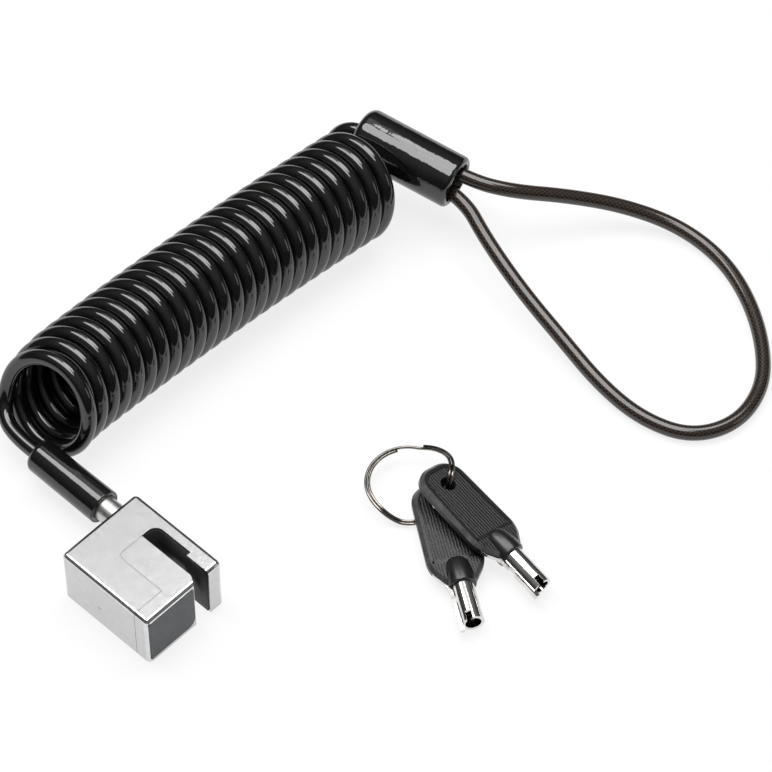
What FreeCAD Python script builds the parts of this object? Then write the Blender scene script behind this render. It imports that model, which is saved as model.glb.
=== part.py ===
import FreeCAD, Part
import math
import os
import re

import Sketcher

# Laptop cable lock: head, curly steel cable, crimp sleeve, anchoring loop and two keys
#
# Frame: the origin is in the middle of the head's underside. X runs along the head from
# the cable to the end pad, Y runs towards the hook arm and along the coil, Z is up.
# Everything lies on the plane z = 0. All lengths are in millimetres, angles in degrees.

# Driving sizes, each written once
sizes = {
    # Head
    "head_length": 28.0,
    "head_width": 23.8,
    "head_height": 15.8,
    "head_corner": 1.3,
    "head_edge": 0.7,
    "wall_depth": 9.7,
    "arm_thickness": 3.1,
    "slot_width": 4.45,
    "lip_length": 7.0,
    "lip_drop": 1.2,
    "tongue_width": 7.45,
    "tongue_height": 5.6,
    "foot_thickness": 4.1,
    "foot_chamfer": 2.4,
    "jaw_gap": 0.1,
    "liner_thickness": 0.35,
    "liner_inset": 0.3,
    "pad_thickness": 0.9,
    "pad_proud": 0.1,
    "pad_margin": 0.55,
    # Cylinder, carrier and pins
    "cylinder_x": -6.0,
    "cylinder_y": -5.6,
    "shell_radius": 4.3,
    "shell_wall": 0.95,
    "shell_clearance": 0.02,
    "turn_clearance": 0.05,
    "shell_low": 0.3,
    "shell_high": 10.0,
    "keyway_depth": 5.1,
    "keyway_radius": 2.8,
    "lug_slot_width": 1.3,
    "carrier_height": 2.1,
    "pin_circle": 2.325,
    "pin_radius": 0.35,
    "pin_play": 0.025,
    "key_pin_length": 2.58,
    "driver_length": 0.95,
    "spring_length": 0.9,
    "spring_bore": 0.2,
    "shear_gap": 0.05,
    "post_radius": 1.8,
    "shaft_radius": 1.5,
    # Pinion and rack
    "tooth_module": 0.6,
    "tooth_count": 10,
    "pressure_angle": 28.0,
    "tooth_addendum": 0.55,
    "tooth_dedendum": 0.7,
    "tooth_backlash": 0.08,
    "pinion_low": 10.2,
    "pinion_height": 2.8,
    "pinion_pocket_play": 0.4,
    "rack_tooth_count": 5,
    "rack_play": 0.1,
    "rack_back": 2.9,
    "rack_tail": 6.0,
    "travel": 4.712389,
    # Pins and rods of the jaw
    "rod_radius": 1.25,
    "rod_inset": 1.0,
    "rod_x": 1.0,
    "rod_y": -7.4,
    "rod_z": 4.5,
    "rod_play": 0.05,
    "dowel_radius": 0.6,
    "dowel_play": 0.02,
    "stop_x": 2.0,
    "stop_y": 2.6,
    "stop_rise": 1.6,
    "cylinder_pin_z": 6.2,
    "cylinder_pin_length": 7.9,
    "bolt_pin_x": 1.6,
    # Swivel, boot and coil cable
    "cable_inset": 4.3,
    "cable_z": 7.8,
    "stud_radius": 3.1,
    "stud_depth": 7.2,
    "swivel_play": 0.05,
    "groove_radius": 2.2,
    "groove_width": 1.6,
    "groove_x": -9.5,
    "swivel_pin_radius": 0.7,
    "swivel_pin_height": 11.5,
    "ferrule_show": 6.5,
    "ferrule_grip": 6.0,
    "boot_radius": 4.35,
    "boot_length": 22.5,
    "boot_round": 1.2,
    "cable_play": 0.05,
    "cable_diameter": 3.45,
    # Coil: rings follow one another along Y, each standing on the floor
    "coil_radius": 12.1,
    "coil_pitch": 4.05,
    "coil_turns": 24.75,
    "coil_lead_turns": 0.1,
    "tail_x": -60.6,
    "tail_y": 117.6,
    "tail_z": 10.0,
    "tail_climb": 70.0,
    "coil_y": 15.2,
    "coil_x": -49.2,
    "coil_drift": 0.006,
    "coil_curve": 0.0006,
    "coil_lean": 0.3,
    "loose_turns": 1.75,
    "loose_fan": 1.9,
    "loose_radius": 0.67,
    "loose_shift": 1.36,
    # Crimp sleeve and loop
    "sleeve_radius": 6.8,
    "sleeve_length": 26.1,
    "sleeve_round": 2.0,
    "sleeve_x": -49.5,
    "sleeve_y": 125.1,
    "sleeve_z": 18.0,
    "sleeve_heading": 13.1,
    "sleeve_fall": 6.6,
    "mouth_radius": 5.0,
    "mouth_depth": 2.5,
    "crimp_radius": 4.7,
    "crimp_low": 9.0,
    "crimp_high": 22.0,
    "crimp_play": 0.05,
    "loop_diameter": 3.7,
    "loop_apart": 4.25,
    "loop_inside": 8.0,
    "loop_outside": 2.5,
    "socket_play": 0.05,
    # Key ring and keys
    "ring_x": 22.6,
    "ring_y": 63.45,
    "ring_radius": 10.6,
    "ring_wire": 0.75,
    "ring_spacing": 0.82,
    "ring_turns": 1.9,
    "ring_height": 4.0,
    "ring_tilt": 1.5,
    "ring_top": 10.1,
    "ring_bottom": 1.25,
    "key_2_hole_angle": 16.7,
    "key_1_hole_angle": 1.0,
    "key_1_height": 3.5,
    "key_2_height": 7.85,
    "key_1_heading": -33.5,
    "key_2_heading": -6.0,
    "key_2_pitch": 7.2,
    "key_2_roll": 15.0,
    "bow_start": 6.0,
    "bow_end": 22.6,
    "bow_width_start": 12.4,
    "bow_width_end": 14.0,
    "bow_thickness": 3.0,
    "bow_bevel": 0.7,
    "bow_nose_run": 3.0,
    "bow_nose_step": 3.4,
    "bow_cheek": 0.3,
    "bow_shoulder_run": 4.5,
    "bow_tail_run": 1.2,
    "bow_tail_step": 2.2,
    "bow_hole": 2.45,
    "hub_radius": 3.35,
    "hub_start": 15.5,
    "hub_cone_length": 2.0,
    "shank_radius": 2.65,
    "shank_bore": 1.9,
    "shank_start": 17.0,
    "shank_end": 33.5,
    "shank_depth": 7.0,
    "tang_length": 6.0,
    "tang_width": 3.0,
    "tang_thickness": 1.4,
    "notch_width": 1.3,
    "notch_depth": 2.2,
    "notch_aside": 0.9,
    "key_lug": 1.6,
    "key_lug_width": 1.2,
    "key_lug_drop": 0.75,
    "key_lug_grip": 2.0,
}

doc = FreeCAD.newDocument("CableLock")
sheet = doc.addObject("Spreadsheet::Sheet", "Sizes")
names = list(sizes)
for row, name in enumerate(names, 1):
    sheet.set("A%d" % row, name)
    sheet.set("B%d" % row, repr(sizes[name]))
    sheet.setAlias("B%d" % row, name)


def linked(text):
    """Return an expression whose size names point to the sheet."""
    return re.sub(
        r"[a-z_][a-z_0-9]*",
        lambda word: "Sizes." + word.group(0) if word.group(0) in names else word.group(0),
        str(text),
    )


def value(text):
    """Work out an expression as a plain number."""
    return float(sheet.evalExpression(linked(text)))


doc.recompute()

# Places that follow from the sizes
half_length = "head_length / 2"
half_width = "head_width / 2"
wall_x = "(-head_length / 2 + wall_depth)"
block_end = "(head_length / 2 - foot_thickness - jaw_gap)"
foot_x = "(head_length / 2 - foot_thickness)"
arm_inner = "(head_width / 2 - arm_thickness)"
tongue_right = "(head_width / 2 - arm_thickness - slot_width)"
tongue_left = "(head_width / 2 - arm_thickness - slot_width - tongue_width)"
block_right = "(head_width / 2 - arm_thickness - slot_width - tongue_width - jaw_gap)"
tongue_low = "(head_height - tongue_height)"
ledge_top = "(head_height - tongue_height - jaw_gap)"
lip_x = "(head_length / 2 - lip_length)"
lip_inner = "(head_width / 2 - arm_thickness - lip_drop)"
shell_bore = "(shell_radius - shell_wall)"
carrier_low = "(shell_low + keyway_depth + 0.1)"
carrier_top = "(shell_low + keyway_depth + 0.1 + carrier_height)"
chamber_low = "(shell_low + keyway_depth + 0.1 + carrier_height + shear_gap)"
pitch_radius = "(tooth_module * tooth_count / 2)"
rack_line = "(cylinder_y + tooth_module * tooth_count / 2)"
rack_tips = "(cylinder_y + tooth_module * tooth_count / 2 - tooth_addendum)"
rack_low = "(pinion_low + 0.1)"
rack_high = "(pinion_low + pinion_height)"
back_line = "(cylinder_y + tooth_module * tooth_count / 2 + tooth_dedendum + rack_back)"
rack_end = "(cylinder_x + tooth_module * pi / 2 * rack_tooth_count + rack_tail)"
stop_top = "(head_height - tongue_height - jaw_gap + stop_rise)"
rod_end = "(head_length / 2 - rod_inset)"
cable_y = "(head_width / 2 - cable_inset)"
boot_front = "(-head_length / 2 - ferrule_show)"
boot_rear = "(-head_length / 2 - ferrule_show - boot_length)"
nodes = {}


def block(label, low, high):
    """Make a box between two corners given as expressions."""
    box = doc.addObject("Part::Box", label)
    for prop, axis, first, last in zip(("Length", "Width", "Height"), "xyz", low, high):
        box.setExpression(prop, linked("(%s) - (%s)" % (last, first)))
        box.setExpression("Placement.Base.%s" % axis, linked(first))
    return box


def cylinder(label, axis, radius, low, high, across):
    """Make a cylinder along an axis from low to high, centred on the two other places."""
    tube = doc.addObject("Part::Cylinder", label)
    turn = {"x": (0, 1, 0, 90), "y": (1, 0, 0, -90), "z": (0, 0, 1, 0)}[axis]
    tube.Placement.Rotation = FreeCAD.Rotation(FreeCAD.Vector(*turn[:3]), turn[3])
    tube.setExpression("Radius", linked(radius))
    tube.setExpression("Height", linked("(%s) - (%s)" % (high, low)))
    tube.setExpression("Placement.Base.%s" % axis, linked(low))
    for other, place in zip("xyz".replace(axis, ""), across):
        tube.setExpression("Placement.Base.%s" % other, linked(place))
    return tube


def join(label, pieces):
    """Fuse pieces into one solid."""
    whole = doc.addObject("Part::MultiFuse", label)
    whole.Shapes = pieces
    whole.Refine = True
    return whole


def cut(label, base, tools):
    """Take tools away from a base."""
    tool = tools[0] if len(tools) == 1 else doc.addObject("Part::Compound", label + "_tools")
    if len(tools) > 1:
        tool.Links = tools
    result = doc.addObject("Part::Cut", label)
    result.Base = base
    result.Tool = tool
    result.Refine = True
    return result


def group(label, pieces):
    """Keep equal separate solids together as one node."""
    whole = doc.addObject("Part::Compound", label)
    whole.Links = pieces
    return whole


def prism(label, plane, corners, low, high):
    """Pad a closed outline, whose corners are expressions, from low to high."""
    solid = doc.addObject("PartDesign::Body", label)
    sketch = solid.newObject("Sketcher::SketchObject", label + "_plan")
    origin = next(f for f in solid.Origin.OriginFeatures if f.Role == plane)
    sketch.AttachmentSupport = (origin, [""])
    sketch.MapMode = "FlatFace"
    flip = -1.0 if plane == "XZ_Plane" else 1.0
    sketch.setExpression("AttachmentOffset.Base.z", linked("%s * (%s)" % (flip, low if flip > 0 else high)))
    places = [(value(a), value(b)) for a, b in corners]
    count = len(places)
    for i in range(count):
        first = FreeCAD.Vector(places[i][0], places[i][1], 0)
        last = FreeCAD.Vector(places[(i + 1) % count][0], places[(i + 1) % count][1], 0)
        sketch.addGeometry(Part.LineSegment(first, last))
    for i in range(count):
        sketch.addConstraint(Sketcher.Constraint("Coincident", i, 2, (i + 1) % count, 1))
    for i, (a, b) in enumerate(corners):
        for kind, text, place in (("DistanceX", a, places[i][0]), ("DistanceY", b, places[i][1])):
            index = sketch.addConstraint(Sketcher.Constraint(kind, -1, 1, i, 1, place))
            sketch.setExpression("Constraints[%d]" % index, linked(text))
    pad = solid.newObject("PartDesign::Pad", label + "_pad")
    pad.Profile = sketch
    pad.setExpression("Length", linked("(%s) - (%s)" % (high, low)))
    doc.recompute()
    return solid


def round_edges(feature):
    """Number the full circles among a feature's edges."""
    edges = enumerate(feature.Shape.Edges, 1)
    return [i for i, e in edges if e.Closed and e.Curve.TypeId == "Part::GeomCircle"]


def edges_where(feature, test):
    """Name the edges of a feature whose middle point passes a test."""
    found = []
    for i, edge in enumerate(feature.Shape.Edges):
        middle = edge.valueAt((edge.FirstParameter + edge.LastParameter) / 2)
        start = edge.Vertexes[0].Point
        end = edge.Vertexes[-1].Point
        if test(middle, (end - start)):
            found.append("Edge%d" % (i + 1))
    return found


def dress(solid, kind, amount, test):
    """Round or chamfer the edges of a body's last feature that pass a test."""
    last = solid.Tip
    edges = edges_where(last, test)
    dressed = solid.newObject("PartDesign::" + kind, solid.Name + "_" + kind.lower())
    dressed.Base = (last, edges)
    dressed.setExpression("Radius" if kind == "Fillet" else "Size", linked(amount))
    doc.recompute()
    return dressed


def near(a, b):
    """Tell whether two lengths agree to a hundredth of a millimetre."""
    return abs(a - b) < 0.01


# Head body: one casting with the hook arm, the wall behind the slot and the ledge
x_max = value(half_length)
y_max = value(half_width)
z_max = value("head_height")

head_plan = prism(
    "head_casting",
    "XY_Plane",
    [
        ("-" + half_length, "-" + half_width),
        (block_end, "-" + half_width),
        (block_end, block_right),
        (wall_x, block_right),
        (wall_x, arm_inner),
        (lip_x, arm_inner),
        (lip_x, lip_inner),
        (half_length, lip_inner),
        (half_length, half_width),
        ("-" + half_length, half_width),
    ],
    "0",
    "head_height",
)
dress(
    head_plan,
    "Fillet",
    "head_corner",
    lambda m, d: near(abs(d.z), z_max) and near(abs(m.y), y_max) and near(abs(m.x), x_max),
)
dress(
    head_plan,
    "Chamfer",
    "head_edge",
    lambda m, d: near(m.z, z_max)
    and (near(m.x, -x_max) or near(abs(m.y), y_max) or (abs(m.x) > x_max - 1.4 and abs(m.y) > y_max - 1.4)),
)
ledge = block(
    "ledge",
    (wall_x + " - 0.1", block_right + " - 0.1", "0"),
    (block_end, tongue_right, ledge_top),
)
head_solid = join("head_solid", [head_plan, ledge])

shell_hole = cylinder(
    "shell_hole", "z", "shell_radius + shell_clearance", "-1", "shell_high + 0.05",
    ("cylinder_x", "cylinder_y"),
)
pinion_pocket = cylinder(
    "pinion_pocket",
    "z",
    pitch_radius + " + tooth_addendum + pinion_pocket_play",
    "shell_high",
    rack_high + " + 0.3",
    ("cylinder_x", "cylinder_y"),
)
rack_start = "(cylinder_x - tooth_module * pi / 2 * rack_tooth_count - 1.0)"
rack_channel = block(
    "rack_channel",
    (rack_start + " - 1.1", rack_tips + " - 0.3", ledge_top),
    (wall_x + " + 0.05", rack_line + " + rack_back + 0.7 + 0.3", rack_high + " + 0.3"),
)
rack_runway = block(
    "rack_runway",
    (wall_x, rack_tips + " - 0.05", rack_low + " - 0.1"),
    (rack_end + " + travel + 0.5", back_line + " + 0.3", rack_high + " + 0.3"),
)
rod_hole = cylinder(
    "rod_hole", "x", "rod_radius + rod_play", "rod_x - 0.5", block_end + " + 1", ("rod_y", "rod_z")
)
cylinder_pin_x = "(cylinder_x + shell_radius - 0.25)"
cylinder_pin_hole = cylinder(
    "cylinder_pin_hole",
    "y",
    "dowel_radius",
    "-head_width / 2 - 1",
    "-head_width / 2 + cylinder_pin_length + 0.1",
    (cylinder_pin_x, "cylinder_pin_z"),
)
stop_hole = cylinder("stop_hole", "z", "dowel_radius", "-1", ledge_top + " + 1", ("stop_x", "stop_y"))
stud_hole = cylinder(
    "stud_hole",
    "x",
    "stud_radius + swivel_play",
    "-head_length / 2 - 1",
    "-head_length / 2 + stud_depth + 0.3",
    (cable_y, "cable_z"),
)
swivel_places = [cable_y + " - groove_radius - swivel_play - swivel_pin_radius",
                 cable_y + " + groove_radius + swivel_play + swivel_pin_radius"]
swivel_holes = [
    cylinder(
        "swivel_hole_%d" % (i + 1), "z", "swivel_pin_radius", "-1", "swivel_pin_height", ("groove_x", y)
    )
    for i, y in enumerate(swivel_places)
]
nodes["lock_body"] = cut(
    "lock_body",
    head_solid,
    [shell_hole, pinion_pocket, rack_channel, rack_runway, rod_hole, cylinder_pin_hole, stop_hole]
    + [stud_hole]
    + swivel_holes,
)

nodes["slot_liner"] = prism(
    "slot_liner",
    "XY_Plane",
    [
        (wall_x, tongue_right + " + 0.15"),
        (wall_x + " + liner_thickness", tongue_right + " + 0.15"),
        (wall_x + " + liner_thickness", arm_inner + " - liner_thickness"),
        (lip_x + " - 0.1", arm_inner + " - liner_thickness"),
        (lip_x + " - 0.1", arm_inner),
        (wall_x, arm_inner),
    ],
    "liner_inset",
    "head_height - liner_inset - head_edge",
)
nodes["cylinder_pin"] = cylinder(
    "cylinder_pin",
    "y",
    "dowel_radius",
    "-head_width / 2 + 0.02",
    "-head_width / 2 + cylinder_pin_length",
    (cylinder_pin_x, "cylinder_pin_z"),
)
nodes["stop_pin"] = cylinder("stop_pin", "z", "dowel_radius", "0.05", stop_top, ("stop_x", "stop_y"))
nodes["swivel_pins"] = group(
    "swivel_pins",
    [
        cylinder(
            "swivel_pin_%d" % (i + 1), "z", "swivel_pin_radius", "0.05", "swivel_pin_height - 0.05",
            ("groove_x", y),
        )
        for i, y in enumerate(swivel_places)
    ],
)

# Lock cylinder: fixed shell, fixed driver chamber, turning carrier with the key pins
centre = ("cylinder_x", "cylinder_y")
shell_blank = cylinder("shell_blank", "z", "shell_radius", "shell_low", "shell_high", centre)
shell_mouth = cylinder(
    "shell_mouth", "z", "keyway_radius + 0.05", "0", "shell_low + keyway_depth + 0.05", centre
)
shell_inside = cylinder(
    "shell_inside", "z", shell_bore, "shell_low + keyway_depth", "shell_high + 1", centre
)
lug_slot = block(
    "lug_slot",
    ("cylinder_x - lug_slot_width / 2", "cylinder_y - keyway_radius - 0.7", "0"),
    ("cylinder_x + lug_slot_width / 2", "cylinder_y", "shell_low + keyway_depth - 1.5"),
)
pin_relief = cylinder(
    "pin_relief",
    "y",
    "dowel_radius + dowel_play",
    "-head_width / 2",
    "0",
    (cylinder_pin_x, "cylinder_pin_z"),
)
nodes["lock_shell"] = cut("lock_shell", shell_blank, [shell_mouth, shell_inside, lug_slot, pin_relief])


def pin_places():
    """Give the seven places on the pin circle."""
    for i in range(7):
        turn = "%.6f deg" % (360.0 * i / 7 + 90)
        yield "cylinder_x + pin_circle * cos(%s)" % turn, "cylinder_y + pin_circle * sin(%s)" % turn


def pin_set(label, radius, low, high):
    """Make seven equal cylinders on the pin circle."""
    return [
        cylinder("%s_%d" % (label, i + 1), "z", radius, low, high, place)
        for i, place in enumerate(pin_places())
    ]


post = cylinder("post", "z", "post_radius", "shell_low + 0.2", carrier_low + " + 0.1", centre)
carrier = cylinder("carrier", "z", shell_bore + " - turn_clearance", carrier_low, carrier_top, centre)
shaft = cylinder("shaft", "z", "shaft_radius", carrier_top + " - 0.1", rack_high, centre)
plug_blank = join("plug_blank", [post, carrier, shaft])
carrier_holes = pin_set("carrier_hole", "pin_radius + pin_play", carrier_low + " - 1", carrier_top + " + 1")
nodes["lock_plug"] = cut("lock_plug", plug_blank, carrier_holes)
nodes["key_pins"] = group(
    "key_pins",
    pin_set("key_pin", "pin_radius", carrier_top + " - 0.02 - key_pin_length", carrier_top + " - 0.02"),
)
chamber_blank = cylinder(
    "chamber_blank", "z", shell_bore + " - 0.01", chamber_low, "shell_high - 0.02", centre
)
chamber_bore = cylinder("chamber_bore", "z", "shaft_radius + turn_clearance", "0", "shell_high + 1", centre)
chamber_holes = pin_set(
    "chamber_hole", "pin_radius + pin_play", "0", chamber_low + " + driver_length + spring_length + 0.1"
)
nodes["driver_chamber"] = cut("driver_chamber", chamber_blank, [chamber_bore] + chamber_holes)
nodes["driver_pins"] = group(
    "driver_pins", pin_set("driver_pin", "pin_radius", chamber_low, chamber_low + " + driver_length")
)
spring_low = chamber_low + " + driver_length + 0.03"
spring_outer = pin_set("spring_outer", "pin_radius", spring_low, spring_low + " + spring_length")
spring_inner = pin_set("spring_inner", "spring_bore", "0", "shell_high")
nodes["driver_springs"] = group(
    "driver_springs",
    [
        cut("driver_spring_%d" % (i + 1), outer, [inner])
        for i, (outer, inner) in enumerate(zip(spring_outer, spring_inner))
    ],
)

# Pinion on the carrier's shaft. A tooth flank is an involute, so its outline is worked
# out point by point from the sizes and raised as one plain feature.
module = value("tooth_module")
teeth = int(value("tooth_count"))
pitch_r = module * teeth / 2
press = math.radians(value("pressure_angle"))
base_r = pitch_r * math.cos(press)
tip_r = pitch_r + value("tooth_addendum")
root_r = pitch_r - value("tooth_dedendum")
half_tooth = (math.pi * module / 2 - value("tooth_backlash") / 2) / 2


def involute(angle):
    """Give the involute function of a pressure angle."""
    return math.tan(angle) - angle


flank = []
flank_steps = 5
for i in range(flank_steps + 1):
    radius = base_r + (tip_r - base_r) * i / flank_steps
    alpha = math.acos(min(1.0, base_r / radius))
    flank.append((radius, half_tooth / pitch_r + involute(press) - involute(alpha)))
outline = []
for k in range(teeth):
    middle = math.pi / 2 + 2 * math.pi * k / teeth
    side = [(root_r, flank[0][1])] + flank
    outline += [(r, middle - a) for r, a in side]
    outline += [(r, middle + a) for r, a in reversed(side)]
corners = [
    FreeCAD.Vector(
        value("cylinder_x") + r * math.cos(a), value("cylinder_y") + r * math.sin(a), value("pinion_low")
    )
    for r, a in outline
]
gear_face = Part.Face(Part.makePolygon(corners + corners[:1]))
gear = gear_face.extrude(FreeCAD.Vector(0, 0, value("pinion_height")))
gear = gear.cut(
    Part.makeCylinder(
        value("shaft_radius + 0.01"),
        value("head_height"),
        FreeCAD.Vector(value("cylinder_x"), value("cylinder_y"), 0),
    )
)
pinion = doc.addObject("Part::Feature", "drive_pinion")
pinion.Shape = gear
nodes["drive_pinion"] = pinion

# Rack bolt: straight teeth on the pinion's pitch line, one gap on the pinion's middle tooth
tooth_pitch = "tooth_module * pi"
tip_half = "(tooth_module * pi / 4 - tooth_backlash / 4 - tooth_addendum * tan(pressure_angle * 1 deg))"
root_half = "(tooth_module * pi / 4 - tooth_backlash / 4 + tooth_dedendum * tan(pressure_angle * 1 deg))"
root_line = "(cylinder_y + tooth_module * tooth_count / 2 + tooth_dedendum)"
rack_outline = [(rack_start, back_line), (rack_start, root_line)]
rack_teeth = int(value("rack_tooth_count"))
for k in range(rack_teeth):
    middle = "(cylinder_x + tooth_module * pi * (%s))" % (k - rack_teeth + 0.5 + 2)
    rack_outline.append((middle + " - " + root_half, root_line))
    rack_outline.append((middle + " - " + tip_half, rack_tips))
    rack_outline.append((middle + " + " + tip_half, rack_tips))
    rack_outline.append((middle + " + " + root_half, root_line))
rack_outline += [(rack_end, root_line), (rack_end, back_line)]
rack_blank = prism("rack_blank", "XY_Plane", rack_outline, rack_low, rack_high)
bolt_pin_y = "(cylinder_y + tooth_module * tooth_count / 2 + tooth_dedendum + rack_back / 2)"
bolt_hole = cylinder("bolt_hole", "z", "dowel_radius", "0", "head_height", ("bolt_pin_x", bolt_pin_y))
nodes["rack_bolt"] = cut("rack_bolt", rack_blank, [bolt_hole])
nodes["bolt_pin"] = cylinder(
    "bolt_pin", "z", "dowel_radius", rack_low, "head_height - 1.2", ("bolt_pin_x", bolt_pin_y)
)

# Sliding jaw: a foot over the whole end of the head and a tongue along the slot
foot_plan = prism(
    "foot_block",
    "XY_Plane",
    [
        (foot_x, "-" + half_width),
        (half_length, "-" + half_width),
        (half_length, tongue_right + " - foot_chamfer * 0.6"),
        (half_length + " - foot_chamfer", tongue_right),
        (foot_x, tongue_right),
    ],
    "0",
    "head_height",
)
dress(
    foot_plan, "Fillet", "head_corner",
    lambda m, d: near(abs(d.z), z_max) and near(m.y, -y_max) and near(m.x, x_max),
)
dress(
    foot_plan,
    "Chamfer",
    "head_edge",
    lambda m, d: near(m.z, z_max)
    and (near(m.x, x_max) or near(m.y, -y_max) or (m.x > x_max - 1.4 and m.y < 1.4 - y_max)),
)
tongue_plan = prism(
    "tongue_block",
    "XY_Plane",
    [
        (wall_x + " + jaw_gap", tongue_left),
        (foot_x + " + 0.1", tongue_left),
        (foot_x + " + 0.1", tongue_right),
        (wall_x + " + jaw_gap", tongue_right),
    ],
    tongue_low,
    "head_height",
)
tongue_start = value(wall_x + " + jaw_gap")
dress(
    tongue_plan,
    "Fillet",
    "head_corner",
    lambda m, d: near(abs(d.z), value("tongue_height"))
    and near(m.x, tongue_start)
    and near(m.y, value(tongue_left)),
)
jaw_solid = join("jaw_solid", [foot_plan, tongue_plan])
rack_rebate = block(
    "rack_rebate",
    (wall_x + " - 1", tongue_left + " - 1", "0"),
    (rack_end + " + rack_play / 2", back_line + " + rack_play / 2", rack_high + " + 0.05"),
)
ledge_space = block(
    "ledge_space",
    (wall_x + " - 1", "-" + half_width + " - 1", "-1"),
    (foot_x + " - 0.05", half_width, tongue_low),
)
stop_groove = block(
    "stop_groove",
    ("stop_x - travel - dowel_radius - 0.05", "stop_y - dowel_radius - 0.05", "0"),
    ("stop_x + dowel_radius + 0.05", "stop_y + dowel_radius + 0.05", stop_top + " + 0.1"),
)
bolt_hole_jaw = cylinder(
    "bolt_hole_jaw", "z", "dowel_radius", "0", "head_height - 1.15", ("bolt_pin_x", bolt_pin_y)
)
rod_hole_jaw = cylinder("rod_hole_jaw", "x", "rod_radius", "0", rod_end, ("rod_y", "rod_z"))
pad_low = "(-head_width / 2 + pad_margin)"
pad_high = "(head_width / 2 - arm_thickness - slot_width - foot_chamfer * 0.6 - 0.15)"
pad_x = "(head_length / 2 + pad_proud - pad_thickness)"
pad_corners = [
    (pad_low, "pad_margin + 0.25"),
    (pad_high, "pad_margin + 0.25"),
    (pad_high, "head_height - head_edge - 0.15"),
    (pad_low, "head_height - head_edge - 0.15"),
]
pad_recess = prism("pad_recess", "YZ_Plane", pad_corners, pad_x, half_length + " + 1")
nodes["sliding_jaw"] = cut(
    "sliding_jaw", jaw_solid, [rack_rebate, stop_groove, bolt_hole_jaw, rod_hole_jaw, pad_recess]
)
nodes["end_pad"] = prism("end_pad", "YZ_Plane", pad_corners, pad_x, half_length + " + pad_proud")
nodes["guide_rod"] = cylinder(
    "guide_rod", "x", "rod_radius", "rod_x", rod_end + " - 0.05", ("rod_y", "rod_z")
)

# Swivel stud, boot
along = (cable_y, "cable_z")
stud = cylinder(
    "stud", "x", "stud_radius", boot_front + " - ferrule_grip", "-head_length / 2 + stud_depth", along
)
groove_outer = cylinder(
    "groove_outer", "x", "stud_radius + 1", "groove_x - groove_width / 2",
    "groove_x + groove_width / 2", along,
)
groove_inner = cylinder(
    "groove_inner", "x", "groove_radius", "groove_x - groove_width", "groove_x + groove_width", along
)
groove = cut("groove", groove_outer, [groove_inner])
nodes["cable_ferrule"] = cut("cable_ferrule", stud, [groove])
boot_blank = cylinder("boot_blank", "x", "boot_radius", boot_rear, boot_front, along)
boot_rounded = doc.addObject("Part::Fillet", "boot_rounded")
boot_rounded.Base = boot_blank
doc.recompute()
rims = round_edges(boot_blank)
boot_rounded.Edges = [(i, value("boot_round"), value("boot_round")) for i in rims]
boot_grip = cylinder(
    "boot_grip", "x", "stud_radius", boot_front + " - ferrule_grip", boot_front + " + 1", along
)
boot_bore = cylinder(
    "boot_bore", "x", "cable_diameter / 2 + cable_play", boot_rear + " - 1", boot_front, along
)
nodes["cable_boot"] = cut("cable_boot", boot_rounded, [boot_grip, boot_bore])

# Curly cable: one unbroken tube on pairs of arcs
wire = value("cable_diameter")


def ring_point(turn):
    """Give the point of the coil's middle line after a number of turns."""
    loose = max(0.0, 1.0 - turn / value("loose_turns")) ** 2
    run = value("coil_pitch") * turn
    radius = value("coil_radius") + value("loose_radius") * loose
    heading = value("coil_drift") + 2 * value("coil_curve") * run
    angle = 2 * math.pi * turn
    bow = value("coil_drift") * run + value("coil_curve") * run ** 2
    x = value("coil_x") + bow + value("loose_shift") * loose
    y = value("coil_y") + run - value("loose_fan") * loose
    return FreeCAD.Vector(
        x - math.cos(angle) * radius * math.cos(heading),
        y + math.cos(angle) * radius * math.sin(heading) + math.sin(angle) * radius * value("coil_lean"),
        wire / 2 + radius * (1 + math.sin(angle)),
    )


def ring_heading(turn):
    """Give the direction of the coil's middle line."""
    step = 0.001
    return (ring_point(turn + step) - ring_point(turn - step)).normalize()


def arc_pair(start, start_way, end, end_way):
    """Join two points and directions by two arcs that meet smoothly."""
    span = end - start
    both = start_way + end_way
    rest = 4 - both.dot(both)
    reach = (-span.dot(both) + math.sqrt(span.dot(both) ** 2 + rest * span.dot(span))) / rest
    first_knee = start + start_way * reach
    last_knee = end - end_way * reach
    join_point = (first_knee + last_knee) * 0.5
    edges = []
    for a, knee, b in ((start, first_knee, join_point), (join_point, last_knee, end)):
        half = math.acos(max(-1.0, min(1.0, (knee - a).dot(b - knee) / reach ** 2))) / 2
        middle = (a + b) * 0.5
        rise = reach * math.tan(half / 2) * math.cos(half) if half > 1e-4 else 0.0
        if half > 1e-3:
            edges.append(Part.Arc(a, middle + (knee - middle).normalize() * rise, b).toShape())
        else:
            edges.append(Part.LineSegment(a, b).toShape())
    return edges


def tube(path, diameter):
    """Sweep a round section along a smooth path."""
    first = path[0]
    start = first.valueAt(first.FirstParameter)
    way = first.tangentAt(first.FirstParameter)
    section = Part.Wire(Part.makeCircle(diameter / 2, start, way))
    return Part.Wire(path).makePipeShell([section], True, False)


exit_point = FreeCAD.Vector(value(boot_rear), value(cable_y), value("cable_z"))
back = FreeCAD.Vector(-1, 0, 0)
cable_start = FreeCAD.Vector(value(boot_front + " - ferrule_grip - 0.1"), exit_point.y, exit_point.z)
lead_start = exit_point + back * wire
sleeve_turn = math.radians(value("sleeve_heading"))
sleeve_drop = math.radians(value("sleeve_fall"))
sleeve_way = FreeCAD.Vector(
    math.cos(sleeve_turn) * math.cos(sleeve_drop),
    math.sin(sleeve_turn) * math.cos(sleeve_drop),
    -math.sin(sleeve_drop),
)
sleeve_start = FreeCAD.Vector(value("sleeve_x"), value("sleeve_y"), value("sleeve_z"))
tail_end = sleeve_start - sleeve_way * wire
cable_end = sleeve_start + sleeve_way * (value("crimp_low") + 3.0)

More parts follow.
